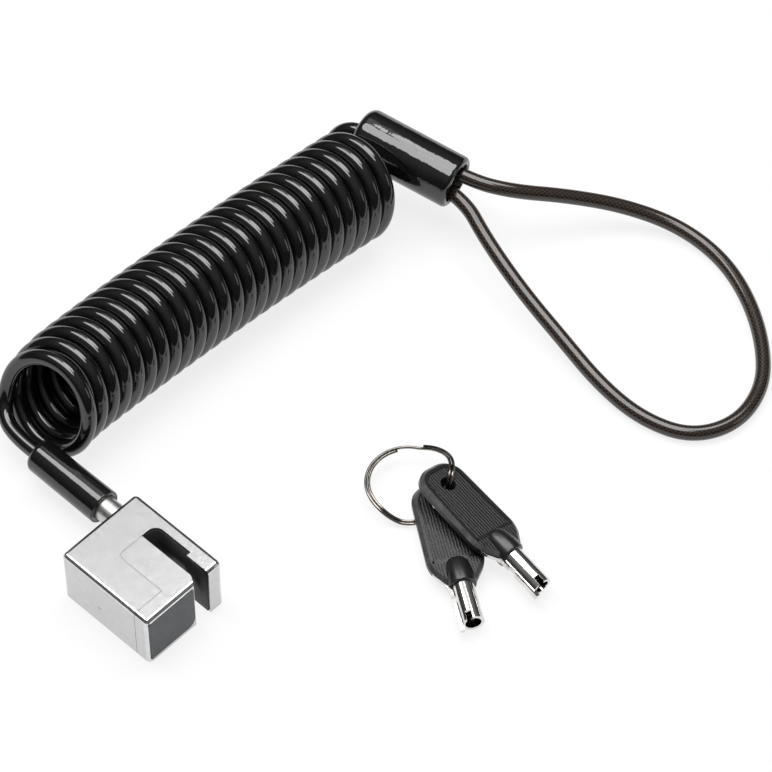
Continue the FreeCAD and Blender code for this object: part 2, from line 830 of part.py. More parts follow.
first_turn = value("coil_lead_turns")
last_turn = value("coil_turns")
steps = int(math.ceil((last_turn - first_turn) * 4))
turns = [first_turn + (last_turn - first_turn) * i / steps for i in range(steps + 1)]
path = [Part.LineSegment(cable_start, lead_start).toShape()]
path += arc_pair(lead_start, back, ring_point(first_turn), ring_heading(first_turn))
for a, b in zip(turns, turns[1:]):
    path += arc_pair(ring_point(a), ring_heading(a), ring_point(b), ring_heading(b))
tail_middle = FreeCAD.Vector(value("tail_x"), value("tail_y"), value("tail_z"))
tail_climb = math.radians(value("tail_climb"))
tail_way = FreeCAD.Vector(0.0, math.cos(tail_climb), math.sin(tail_climb))
path += arc_pair(ring_point(last_turn), ring_heading(last_turn), tail_middle, tail_way)
path += arc_pair(tail_middle, tail_way, tail_end, sleeve_way)
path.append(Part.LineSegment(tail_end, cable_end).toShape())
coil = doc.addObject("Part::Feature", "coil_cable")
coil.Shape = tube(path, wire)
nodes["coil_cable"] = coil


def least_gap(edges, diameter, spacing):
    """Measure a tube's least distance to itself, away from its own neighbourhood."""
    points = []
    for edge in edges:
        points += edge.discretize(max(2, int(edge.Length / spacing)))[:-1]
    travelled = [0.0]
    for p, q in zip(points, points[1:]):
        travelled.append(travelled[-1] + p.distanceToPoint(q))
    least = 1e9
    grid = {}
    cell = diameter * 2
    for i, p in enumerate(points):
        home = (int(p.x // cell), int(p.y // cell), int(p.z // cell))
        for dx in (-1, 0, 1):
            for dy in (-1, 0, 1):
                for dz in (-1, 0, 1):
                    for j in grid.get((home[0] + dx, home[1] + dy, home[2] + dz), ()):
                        if travelled[i] - travelled[j] > diameter * 6:
                            least = min(least, p.distanceToPoint(points[j]))
        grid.setdefault(home, []).append(i)
    return least - diameter


coil_length = sum(edge.Length for edge in path)
print("coil cable radius %.3f length %.1f" % (wire / 2, coil_length))
print("coil cable least gap to itself %.3f" % least_gap(path, wire, 1.2))
print("coil bends", ["%.1f" % e.Curve.Radius for e in path[1:3] + path[-5:-1]])

# Crimp sleeve, crimp ferrule and the anchoring loop
strand = value("loop_diameter")
sleeve_end = sleeve_start + sleeve_way * value("sleeve_length")
aside = FreeCAD.Vector(-0.17, 1.49, 1.48)
aside = (aside - sleeve_way * aside.dot(sleeve_way)).normalize() * (value("loop_apart") / 2)


def sleeve_cylinder(label, radius, low, high):
    """Make a cylinder on the sleeve's own line."""
    piece = doc.addObject("Part::Cylinder", label)
    piece.setExpression("Radius", linked(radius))
    piece.setExpression("Height", linked("(%s) - (%s)" % (high, low)))
    turn = FreeCAD.Rotation(FreeCAD.Vector(0, 0, 1), sleeve_way)
    piece.Placement = FreeCAD.Placement(sleeve_start + sleeve_way * value(low), turn)
    return piece


sleeve_blank = sleeve_cylinder("sleeve_blank", "sleeve_radius", "0", "sleeve_length")
sleeve_rounded = doc.addObject("Part::Fillet", "sleeve_rounded")
sleeve_rounded.Base = sleeve_blank
doc.recompute()
rims = round_edges(sleeve_blank)
sleeve_rounded.Edges = [(i, value("sleeve_round"), value("sleeve_round")) for i in rims]
mouth = sleeve_cylinder("mouth", "mouth_radius", "sleeve_length - mouth_depth", "sleeve_length + 1")
crimp_space = sleeve_cylinder("crimp_space", "crimp_radius", "crimp_low", "crimp_high")
cable_socket = sleeve_cylinder("cable_socket", "cable_diameter / 2 + socket_play", "-1", "crimp_low + 3.1")


def strand_socket(label, sign):
    """Make the hole for one end of the loop."""
    piece = doc.addObject("Part::Cylinder", label)
    piece.setExpression("Radius", linked("loop_diameter / 2 + socket_play"))
    piece.setExpression("Height", linked("loop_inside + 3"))
    turn = FreeCAD.Rotation(FreeCAD.Vector(0, 0, 1), sleeve_way)
    low = sleeve_end + aside * sign - sleeve_way * (value("loop_inside") + 0.1)
    piece.Placement = FreeCAD.Placement(low, turn)
    return piece


sockets = [strand_socket("strand_socket_1", 1), strand_socket("strand_socket_2", -1)]
nodes["crimp_sleeve"] = cut("crimp_sleeve", sleeve_rounded, [mouth, crimp_space, cable_socket] + sockets)
crimp_blank = sleeve_cylinder(
    "crimp_blank", "crimp_radius - crimp_play", "crimp_low + crimp_play", "crimp_high - crimp_play"
)
nodes["crimp_ferrule"] = cut("crimp_ferrule", crimp_blank, [cable_socket] + sockets)

loop_route = [
    sleeve_end + aside - sleeve_way * value("loop_inside"),
    sleeve_end + aside + sleeve_way * value("loop_outside"),
    FreeCAD.Vector(-12.0, 137.5, 14.6),
    FreeCAD.Vector(-4.5, 149.5, 10.6),
    FreeCAD.Vector(5.5, 159.5, 6.4),
    FreeCAD.Vector(17.5, 166.0, 3.2),
    FreeCAD.Vector(31.0, 166.5, 1.95),
    FreeCAD.Vector(44.0, 161.5, 1.9),
    FreeCAD.Vector(56.0, 153.0, 1.95),
    FreeCAD.Vector(64.5, 143.0, 1.9),
    FreeCAD.Vector(67.0, 130.5, 1.95),
    FreeCAD.Vector(61.5, 120.0, 1.9),
    FreeCAD.Vector(49.5, 116.0, 1.95),
    FreeCAD.Vector(36.0, 116.5, 2.6),
    FreeCAD.Vector(21.5, 119.0, 5.0),
    FreeCAD.Vector(7.0, 122.0, 8.0),
    FreeCAD.Vector(-8.5, 126.5, 11.2),
    sleeve_end - aside + sleeve_way * value("loop_outside"),
    sleeve_end - aside - sleeve_way * value("loop_inside"),
]


def rounded_route(points):
    """Join straight runs by arcs that touch both of them."""
    edges = []
    start = points[0]
    least = 1e9
    for before, corner, after in zip(points, points[1:], points[2:]):
        first = corner - before
        second = after - corner
        cutback = 0.45 * min(first.Length, second.Length)
        half = first.getAngle(second) / 2
        into = corner - first * (cutback / first.Length)
        out = corner + second * (cutback / second.Length)
        radius = cutback / math.tan(half)
        least = min(least, radius)
        inward = ((into + out) * 0.5 - corner).normalize()
        top = corner + inward * (radius / math.cos(half) - radius)
        edges.append(Part.LineSegment(start, into).toShape())
        edges.append(Part.Arc(into, top, out).toShape())
        start = out
    edges.append(Part.LineSegment(start, points[-1]).toShape())
    return edges, least


loop_path, loop_bend = rounded_route(loop_route)
loop = doc.addObject("Part::Feature", "loop_cable")
loop.Shape = tube(loop_path, strand)
nodes["loop_cable"] = loop
loop_length = sum(edge.Length for edge in loop_path)
print("loop cable radius %.3f length %.1f tightest bend %.1f" % (strand / 2, loop_length, loop_bend))
print("loop cable least gap to itself %.3f" % least_gap(loop_path, strand, 1.2))

# Split key ring: two flat turns of one wire, sprung open where it passes through the keys
hole_2 = value("key_2_hole_angle")
hole_1 = value("key_1_hole_angle")


def ring_level(degrees):
    """Give the wire's height above the floor at an angle of the ring."""
    flat = value("ring_height") + value("ring_tilt") * math.cos(math.radians(degrees - 120.0))
    marks = [
        (-180.0, None),
        (hole_1 - 90.0, None),
        (hole_1 - 58.0, value("ring_bottom")),
        (hole_1 - 11.5, value("ring_bottom")),
        (hole_2 + 12.5, value("ring_top")),
        (hole_2 + 42.0, value("ring_top") - 0.7),
        (hole_2 + 100.0, None),
        (180.0, None),
    ]
    angle = (degrees + 180.0) % 360.0 - 180.0
    for (a, low), (b, high) in zip(marks, marks[1:]):
        if a <= angle <= b:
            low = flat if low is None else low
            high = flat if high is None else high
            return low + (high - low) * (angle - a) / (b - a)
    return flat


def ring_place(degrees):
    """Give the middle of the ring's wire at an angle counted from the wire's first end."""
    angle = degrees + 150.0
    levels = [ring_level(angle + shift) for shift in (-6, -4, -2, 0, 2, 4, 6)]
    turns = degrees / 360.0 - 0.45
    radius = value("ring_radius") - value("ring_spacing") / 2 + value("ring_spacing") * turns
    return FreeCAD.Vector(
        value("ring_x") + radius * math.cos(math.radians(angle)),
        value("ring_y") + radius * math.sin(math.radians(angle)),
        sum(levels) / len(levels),
    )


def ring_way(degrees):
    """Give the direction of the ring's wire."""
    return (ring_place(degrees + 0.1) - ring_place(degrees - 0.1)).normalize()


ring_span = value("ring_turns") * 360.0
ring_steps = 48
marks = [ring_span * i / ring_steps for i in range(ring_steps + 1)]
ring_path = []
for a, b in zip(marks, marks[1:]):
    ring_path += arc_pair(ring_place(a), ring_way(a), ring_place(b), ring_way(b))
key_ring = doc.addObject("Part::Feature", "key_ring")
key_ring.Shape = tube(ring_path, value("ring_wire"))
nodes["key_ring"] = key_ring

# One key in its own frame: the hole is at the origin, the shank runs along X
bow_outline = [
    ("-bow_start", "-bow_width_start / 2 + bow_nose_step"),
    ("-bow_start + bow_nose_run", "-bow_width_start / 2 + bow_cheek"),
    ("0", "-bow_width_start / 2"),
    ("bow_end - bow_shoulder_run", "-bow_width_end / 2"),
    ("bow_end - bow_tail_run", "-bow_width_end / 2 + bow_tail_step"),
    ("bow_end", "-hub_radius"),
    ("bow_end", "hub_radius"),
    ("bow_end - bow_tail_run", "bow_width_end / 2 - bow_tail_step"),
    ("bow_end - bow_shoulder_run", "bow_width_end / 2"),
    ("0", "bow_width_start / 2"),
    ("-bow_start + bow_nose_run", "bow_width_start / 2 - bow_cheek"),
    ("-bow_start", "bow_width_start / 2 - bow_nose_step"),
]
bow_plate = prism("bow_plate", "XY_Plane", bow_outline, "-bow_thickness / 2", "bow_thickness / 2")
dress(bow_plate, "Chamfer", "bow_bevel", lambda m, d: abs(d.z) < 0.01)
hub = cylinder("hub", "x", "hub_radius", "hub_start + hub_cone_length", "bow_end", ("0", "0"))
hub_cone = doc.addObject("Part::Cone", "hub_cone")
hub_cone.Placement.Rotation = FreeCAD.Rotation(FreeCAD.Vector(0, 1, 0), 90)
hub_cone.setExpression("Radius1", linked("bow_thickness / 2"))
hub_cone.setExpression("Radius2", linked("hub_radius"))
hub_cone.setExpression("Height", linked("hub_cone_length"))
hub_cone.setExpression("Placement.Base.x", linked("hub_start"))
bow_blank = join("bow_blank", [bow_plate, hub, hub_cone])
bow_eye = cylinder("bow_eye", "z", "bow_hole", "-10", "10", ("0", "0"))
shank_socket = cylinder("shank_socket", "x", "shank_radius", "shank_start", "bow_end + 1", ("0", "0"))
tang_socket = block(
    "tang_socket",
    ("shank_start - tang_length", "-tang_width / 2", "-tang_thickness / 2"),
    ("shank_start + 1", "tang_width / 2", "tang_thickness / 2"),
)
lug_low = "(-shank_radius - key_lug_drop)"
lug_socket = block(
    "lug_socket",
    ("bow_end - key_lug_grip", lug_low, "-key_lug_width / 2"),
    ("bow_end + 1", "-shank_radius / 2", "key_lug_width / 2"),
)
bow = cut("bow", bow_blank, [bow_eye, shank_socket, tang_socket, lug_socket])

shank_tube = cylinder("shank_tube", "x", "shank_radius", "shank_start", "shank_end", ("0", "0"))
shank_hole = cylinder(
    "shank_hole", "x", "shank_bore", "shank_end - shank_depth", "shank_end + 1", ("0", "0")
)
tang = block(
    "tang",
    ("shank_start - tang_length", "-tang_width / 2", "-tang_thickness / 2"),
    ("shank_start + 0.5", "tang_width / 2", "tang_thickness / 2"),
)
key_lug_strip = block(
    "key_lug_strip",
    ("bow_end - key_lug_grip", lug_low, "-key_lug_width / 2"),
    ("shank_end + key_lug", "-shank_radius + 0.3", "key_lug_width / 2"),
)
tip_notch = block(
    "tip_notch",
    ("shank_end - notch_depth", "-notch_width / 2 - notch_aside", "0"),
    ("shank_end + 0.5", "notch_width / 2 - notch_aside", "shank_radius + 1"),
)
shank_whole = join("shank_whole", [shank_tube, tang, key_lug_strip])
shank = cut("shank", shank_whole, [shank_hole, tip_notch])
doc.recompute()


def place_key(number, hole_angle, height, heading, pitch, roll):
    """Set a copy of the key's two pieces where that key lies."""
    spot = FreeCAD.Vector(
        value("ring_x") + value("ring_radius") * math.cos(math.radians(hole_angle)),
        value("ring_y") + value("ring_radius") * math.sin(math.radians(hole_angle)),
        height,
    )
    turn = FreeCAD.Rotation(FreeCAD.Vector(0, 0, 1), heading)
    turn = turn * FreeCAD.Rotation(FreeCAD.Vector(0, 1, 0), pitch)
    turn = turn * FreeCAD.Rotation(FreeCAD.Vector(1, 0, 0), -roll)
    for part_name, source in (("bow", bow), ("shank", shank)):
        placed = doc.addObject("Part::Feature", "key_%d_%s" % (number, part_name))
        placed.Shape = source.Shape.copy()
        placed.Placement = FreeCAD.Placement(spot, turn)
        nodes["key_%d_%s" % (number, part_name)] = placed
    normal = turn.multVec(FreeCAD.Vector(0, 0, 1))
    print("key %d hole %s normal %s" % (number, tuple(spot), tuple(normal)))


place_key(1, hole_1, value("key_1_height"), value("key_1_heading"), 0.0, 0.0)
place_key(
    2, hole_2, value("key_2_height"), value("key_2_heading"), value("key_2_pitch"), value("key_2_roll")
)

# Check every object, then write one file for each node
doc.recompute()
for item in doc.Objects:
    if "Invalid" in item.State or "Error" in item.State:
        raise RuntimeError("object %s is not valid: %s" % (item.Name, item.State))
os.makedirs("parts", exist_ok=True)
for node, item in nodes.items():
    item.Label = node
    shape = item.Shape
    if shape.isNull() or not shape.isValid():
        raise RuntimeError("shape of %s is not valid" % node)
    shape.exportStep("parts/%s.step" % node)
    box = shape.BoundBox
    print(
        "%-16s solids %d volume %9.2f  x %.2f %.2f  y %.2f %.2f  z %.2f %.2f"
        % (node, len(shape.Solids), shape.Volume, box.XMin, box.XMax, box.YMin, box.YMax, box.ZMin, box.ZMax)
    )
print("nodes", len(nodes))
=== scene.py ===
"""Looks of a laptop cable lock: chromed head, curly cable, sleeve, anchoring loop and two keys.

Every length below is in millimetres unless a name says otherwise. The frame is the CAD model's:
X runs along the head from the cable to the end pad, Y towards the hook arm, Z is up.
"""

import logging
import math
from dataclasses import dataclass, replace
from enum import Enum

import bmesh
import bpy
from mathutils import Matrix, Vector


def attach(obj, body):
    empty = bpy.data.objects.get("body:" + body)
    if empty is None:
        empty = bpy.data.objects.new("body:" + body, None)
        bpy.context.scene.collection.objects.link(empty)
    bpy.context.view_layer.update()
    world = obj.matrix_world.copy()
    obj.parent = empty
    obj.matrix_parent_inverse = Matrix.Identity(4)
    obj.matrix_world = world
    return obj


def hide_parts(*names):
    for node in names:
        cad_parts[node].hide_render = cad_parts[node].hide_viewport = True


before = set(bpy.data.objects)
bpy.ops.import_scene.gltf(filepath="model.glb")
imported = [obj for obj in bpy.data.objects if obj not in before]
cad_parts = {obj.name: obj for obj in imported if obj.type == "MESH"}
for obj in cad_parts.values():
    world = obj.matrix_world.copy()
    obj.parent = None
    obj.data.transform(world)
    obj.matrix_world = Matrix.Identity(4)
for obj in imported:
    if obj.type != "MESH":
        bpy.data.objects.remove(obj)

Shape = bmesh.types.BMesh
Edges = list[bmesh.types.BMEdge]
Piece = bpy.types.Object
Tree = bpy.types.NodeTree
Socket = bpy.types.NodeSocket
Pair = tuple[float, float]
Place = tuple[float, float, float]
Pairs = tuple[Pair, ...]
Places = tuple[Place, ...]
Rounds = tuple[tuple[int, float], ...]

MM = 0.001
# how far a vertex may lie from where it is looked for, and a level edge's ends from one height
NEAR = 0.02
LEVEL = 0.01
# a face looks along an axis when its unit normal has at least this much of it, and a chamfer's
# normal has between these shares of Z
SQUARE = 0.98
SLANTED = (0.5, 0.9)
log = logging.getLogger("cable_lock")


class Body(Enum):
    """The rigid bodies that pieces ride on."""

    CABLE = "cable"
    HEAD = "head"
    JAW = "jaw"
    RING = "ring"
    KEY_1 = "key_1"
    KEY_2 = "key_2"


class Slot(Enum):
    """Names of material slots."""

    SATIN = "satin_chrome"
    BRIGHT = "bright_chrome"
    STEEL = "steel"
    BLACK_RUBBER = "black_rubber"
    GREY_RUBBER = "grey_rubber"
    BLACK_PLASTIC = "black_plastic"
    JACKET = "smoked_jacket"
    CHARCOAL = "charcoal_plastic"


def linear(code: str) -> tuple[float, float, float, float]:
    """Turn an sRGB hex colour into linear light.

    Args:
        code: six hex digits after a hash sign.

    Returns:
        Red, green, blue and an alpha of 1.
    """
    parts = [int(code[i : i + 2], 16) / 255 for i in (1, 3, 5)]
    red, green, blue = (p / 12.92 if p <= 0.04045 else ((p + 0.055) / 1.055) ** 2.4 for p in parts)
    return red, green, blue, 1.0


def point(x: float, y: float, z: float) -> Vector:
    """Turn a place in millimetres into one in metres."""
    return Vector((x, y, z)) * MM


def add(
    tree: Tree,
    kind: str,
    options: dict | None = None,
    values: dict | None = None,
    links: dict | None = None,
) -> bpy.types.Node:
    """Add a node with its settings and the links that feed it.

    Args:
        tree: the material's or the world's node tree.
        kind: the node's type name without its ShaderNode prefix.
        options: attributes of the node.
        values: constants of its input sockets, by name or number.
        links: output sockets that feed its input sockets, by name or number.

    Returns:
        The new node.
    """
    node = tree.nodes.new("ShaderNode" + kind)
    for name, value in (options or {}).items():
        setattr(node, name, value)
    for name, value in (values or {}).items():
        node.inputs[name].default_value = value
    for name, socket in (links or {}).items():
        tree.links.new(socket, node.inputs[name])
    return node


def empty_material(name: str) -> bpy.types.Material:
    """Make a material without nodes.

    Args:
        name: the material's name.

    Returns:
        The material.
    """
    made = bpy.data.materials.new(name)
    made.use_nodes = True
    made.node_tree.nodes.clear()
    return made


def mesh_from(name: str, shape: Shape) -> bpy.types.Mesh:
    """Turn a bmesh into a mesh.

    Args:
        name: the mesh's name.
        shape: the bmesh, which is freed.

    Returns:
        The mesh.
    """
    mesh = bpy.data.meshes.new(name)
    shape.to_mesh(mesh)
    shape.free()
    return mesh


def placed(name: str, data: bpy.types.ID) -> Piece:
    """Put a new object at the scene's origin.

    Args:
        name: the object's name.
        data: its mesh, curve, lamp or camera.

    Returns:
        The object.
    """
    made = bpy.data.objects.new(name, data)
    bpy.context.scene.collection.objects.link(made)
    return made


@dataclass(frozen=True)
class Canvas:
    """A node tree that is being filled, and the coordinates that its patterns read.

    Attributes:
        tree: the node tree.
        place: the coordinates.
    """

    tree: Tree
    place: Socket

    def clouds(self, size: float) -> Socket:
        """Make a cloudy pattern.

        Args:
            size: width of a patch.

        Returns:
            The pattern, from 0 to 1.
        """
        values = {"Scale": 1 / (size * MM), "Detail": 3.0, "Roughness": 0.55}
        noise = add(self.tree, "TexNoise", values=values, links={"Vector": self.place})
        return noise.outputs["Fac"]


@dataclass(frozen=True)
class Finish:
    """A surface finish: a shader with a slightly uneven colour, gloss and relief.

    Attributes:
        name: the real material and how its surface is made.
        colour: its colour as sRGB hex.
        shade: the colour of its darker patches.
        roughness: its middle roughness.
        spread: how far the roughness varies up and down.
        metallic: 1 for a bare metal.
        ior: index of refraction of a clear or plastic surface.
        grain: size of the fine relief.
        relief: height of the relief.
        patch: size of the cloudy variation of colour and gloss.
    """

    name: str
    colour: str
    shade: str
    roughness: float
    spread: float = 0.05
    metallic: float = 0.0
    ior: float = 1.5
    grain: float = 0.3
    relief: float = 0.01
    patch: float = 2.0

    def material(self) -> bpy.types.Material:
        """Build the material once and reuse it.

        Returns:
            The material of this finish.
        """
        known = bpy.data.materials.get(self.name)
        if known:
            return known
        made = empty_material(self.name)
        tree = made.node_tree
        canvas = Canvas(tree, add(tree, "TexCoord").outputs["Object"])
        high = {"Height": self.height(canvas)}
        bump = add(tree, "Bump", values={"Distance": self.relief * MM}, links=high)
        values = {"Metallic": self.metallic}
        if not self.metallic:
            values["IOR"] = self.ior
        links = {
            "Base Color": self.tint(canvas),
            "Roughness": self.gloss(canvas),
            "Normal": bump.outputs["Normal"],
        }
        shader = add(tree, "BsdfPrincipled", values=values, links=links)
        add(tree, "OutputMaterial", links={"Surface": shader.outputs["BSDF"]})
        return made

    def tint(self, canvas: Canvas) -> Socket:
        """Mix the colour with soft patches of the shade.

        Args:
            canvas: where the nodes go.

        Returns:
            The colour.
        """
        ramp = add(canvas.tree, "ValToRGB", links={"Fac": canvas.clouds(self.patch)})
        stops = ((0.35, self.shade), (0.65, self.colour))
        for element, (position, colour) in zip(ramp.color_ramp.elements, stops):
            element.position = position
            element.color = linear(colour)
        return ramp.outputs["Color"]

    def gloss(self, canvas: Canvas) -> Socket:
        """Vary the roughness a little, as handling and moulding do.

        Args:
            canvas: where the nodes go.

        Returns:
            The roughness.
        """
        values = {
            "From Min": 0.3,
            "From Max": 0.7,
            "To Min": self.roughness - self.spread,
            "To Max": self.roughness + self.spread,
        }
        links = {"Value": canvas.clouds(self.patch * 0.6)}
        return add(canvas.tree, "MapRange", values=values, links=links).outputs["Result"]

    def height(self, canvas: Canvas) -> Socket:
        """Give the fine relief, from 0 to 1."""
        return canvas.clouds(self.grain)


@dataclass(frozen=True)
class RibbedFinish(Finish):
    """Moulded plastic with fine ribs along one direction, broken up by a stipple.

    Attributes:
        centre: a place on the piece where the pattern is centred.
        heading: direction of the ribs in degrees about Z.
        pitch: distance between ribs.
    """

    centre: Place = (0.0, 0.0, 0.0)
    heading: float = 0.0
    pitch: float = 0.7

    def height(self, canvas: Canvas) -> Socket:
        """Lay the ribs and the stipple over each other.

        Args:
            canvas: where the nodes go.

        Returns:
            The relief, from 0 to 1.
        """
        turn = (0.0, 0.0, math.radians(self.heading))
        values = {"Location": [c * MM for c in self.centre], "Rotation": turn}
        links = {"Vector": canvas.place}
        along = add(canvas.tree, "Mapping", {"vector_type": "TEXTURE"}, values, links)
        # a wave's crests lie 0.314 / scale apart, in metres
        scale = 0.314 / (self.pitch * MM)
        values = {"Scale": scale, "Distortion": 2.2, "Detail": 2.0, "Detail Scale": 2.0}
        links = {"Vector": along.outputs["Vector"]}
        ribs = add(canvas.tree, "TexWave", {"bands_direction": "Y"}, values, links)
        links = {0: ribs.outputs["Fac"], 2: canvas.clouds(self.grain)}
        both = add(canvas.tree, "Math", {"operation": "MULTIPLY_ADD"}, {1: 0.75}, links)
        return both.outputs["Value"]


@dataclass(frozen=True)
class BraidedJacket(Finish):
    """A smoked, clear plastic jacket over braided steel wire.

    The braid shows as faint crossing diagonals, a strand about 0.4 mm wide, drawn
    a little coarser than real so that it shows. It follows the cable by its own map.

    Attributes:
        strand: colour of the steel under the jacket.
        length: length of the cable.
        lay: length along the cable in which a strand goes once round.
        carriers: strands side by side round the cable.
    """

    strand: str = "#3c322c"
    length: float = 239.0
    lay: float = 14.0
    carriers: int = 22

    def braid(self, tree: Tree) -> Socket:
        """Draw the crossing strands on the cable's own map.

        Args:
            tree: the material's node tree.

        Returns:
            The braid, 1 on a strand and 0 between them.
        """
        cable = add(tree, "UVMap", {"uv_map": "cable"}).outputs[0]
        split = add(tree, "SeparateXYZ", links={0: cable})
        # half the strands wind each way, and one wave is a strand and the gap beside it
        around = math.pi * self.carriers
        ways = {}
        for number, sign in enumerate((1.0, -1.0)):
            factor = {1: sign * self.length / self.lay * around}
            turns = add(tree, "Math", {"operation": "MULTIPLY"}, factor, {0: split.outputs["X"]})
            links = {0: split.outputs["Y"], 2: turns.outputs[0]}
            angle = add(tree, "Math", {"operation": "MULTIPLY_ADD"}, {1: around}, links)
            wave = add(tree, "Math", {"operation": "SINE"}, links={0: angle.outputs[0]})
            ways[number] = wave.outputs[0]
        top = add(tree, "Math", {"operation": "MAXIMUM"}, links=ways)
        values = {"From Min": 0.1, "From Max": 0.95}
        strands = add(tree, "MapRange", values=values, links={"Value": top.outputs[0]})
        return strands.outputs["Result"]

    def tint(self, canvas: Canvas) -> Socket:
        """Colour the jacket, lighter where a strand lies just under it.

        Args:
            canvas: where the nodes go.

        Returns:
            The colour.
        """
        # a colour mix has its two colours on sockets 6 and 7 and its result on output 2
        kind = {"data_type": "RGBA"}
        colours = {6: linear(self.shade), 7: linear(self.colour)}
        jacket = add(canvas.tree, "Mix", kind, colours, {0: canvas.clouds(self.patch)})
        links = {0: self.braid(canvas.tree), 6: jacket.outputs[2]}
        return add(canvas.tree, "Mix", kind, {7: linear(self.strand)}, links).outputs[2]


# Zinc casting, blasted and satin chromed: a fine sparkle, whose real grain of about 0.1 mm is
# drawn 0.4 mm wide so that it shows
SATIN_CHROME = Finish(
    "zinc_casting_satin_chrome", "#cacaca", "#c4c4c4", roughness=0.20, spread=0.02,
    metallic=1.0, grain=0.42, relief=0.018,
)
# The same casting on its tumbled edges: almost a mirror, so they show as dark and bright lines
TUMBLED_EDGE = Finish(
    "zinc_casting_tumbled_edge", "#dcdcdc", "#d2d2d3", roughness=0.15, spread=0.03,
    metallic=1.0, grain=0.6,
)
# Polished and plated steel: mirror gloss with faint handling marks
BRIGHT_CHROME = Finish(
    "steel_bright_chrome", "#e6e4e1", "#d6d4d2", roughness=0.08, spread=0.03,
    metallic=1.0, grain=1.2, relief=0.006, patch=2.5,
)
# Turned steel, ground to size: fine and a little dull
GROUND_STEEL = Finish(
    "steel_ground", "#bdbdc0", "#a7a8ac", roughness=0.28, metallic=1.0, grain=0.15, relief=0.003,
)
# Turned steel with a satin plating: pale, between a mirror and a sheen
SATIN_STEEL = Finish(
    "steel_turned_satin_plated", "#d2d1ce", "#c6c5c3", roughness=0.38,
    metallic=1.0, grain=0.5, relief=0.012,
)
# Spring wire, drawn and bright: glossy, with a slightly uneven, warm tone
SPRING_WIRE = Finish(
    "steel_spring_wire", "#938e89", "#78736e", roughness=0.16,
    metallic=1.0, grain=0.4, relief=0.004, patch=2.5,
)
# Free-cutting brass, turned: warm and clean
TURNED_BRASS = Finish(
    "brass_turned", "#c9a15a", "#b58c47", roughness=0.24, spread=0.04,
    metallic=1.0, grain=0.15, relief=0.003,
)
# Aluminium tube, crimped: pale with soft pressed marks
CRIMPED_ALUMINIUM = Finish(
    "aluminium_crimped", "#c9cacc", "#b4b5b8", roughness=0.36, metallic=1.0, grain=0.5,
)
# Polyurethane jacket, extruded: black and wet-looking, with a very slight waviness
BLACK_JACKET = Finish(
    "polyurethane_jacket_extruded", "#141413", "#0f0f0f", roughness=0.09, spread=0.02,
    ior=1.7, grain=2.5, patch=9.0,
)
# Nylon, injection moulded in a polished tool: black mirror with a rippled highlight
BLACK_MOULDING = Finish(
    "nylon_moulded_polished", "#141414", "#0f0f0f", roughness=0.07, spread=0.02,
    ior=1.7, grain=6.0, relief=0.16, patch=8.0,
)
# Soft vinyl boot, dip moulded: black and glossy, smoother than the sleeve
BLACK_BOOT = Finish(
    "vinyl_boot_moulded", "#151413", "#100f0f", roughness=0.10, spread=0.02,
    ior=1.7, grain=4.0, relief=0.03, patch=8.0,
)
# Clear vinyl jacket, smoked, extruded over braided steel
SMOKED_JACKET = BraidedJacket(
    "vinyl_jacket_over_braid", "#1e1815", "#161210", roughness=0.16, spread=0.03,
    ior=1.6, grain=1.0, relief=0.012, patch=6.0,
)
# Thermoplastic rubber, moulded in a fine-eroded tool: matt dark grey
GREY_PAD = Finish(
    "rubber_pad_moulded", "#4e5256", "#494d51", roughness=0.48,
    grain=0.18, relief=0.012, patch=4.0,
)
# Soft vinyl strip, extruded: matt black lining of the slot
SLOT_LINING = Finish(
    "vinyl_lining_extruded", "#171717", "#121212", roughness=0.55, spread=0.06,
    grain=0.25, patch=3.0,
)
# Glass-filled nylon, moulded: charcoal with a soft gloss
KEY_NYLON = Finish(
    "nylon_glass_filled_moulded", "#1d1d1e", "#181819", roughness=0.30,
    ior=1.55, grain=0.35, patch=4.0,
)
# The same nylon on the bows' chamfered rims, painted pale as a highlight
RIM_HIGHLIGHT_NYLON = Finish(
    "nylon_rims_painted_highlight", "#4c4c4d", "#38383a", roughness=0.34, spread=0.06,
    ior=1.55, relief=0.012, patch=2.5,
)
# The same nylon in the bows' sunken fields: duller, with fine ribs
RIBBED_NYLON = RibbedFinish(
    "nylon_ribbed", "#1b1b1c", "#151516", roughness=0.42,
    ior=1.55, grain=0.35, relief=0.062, patch=3.0,
)


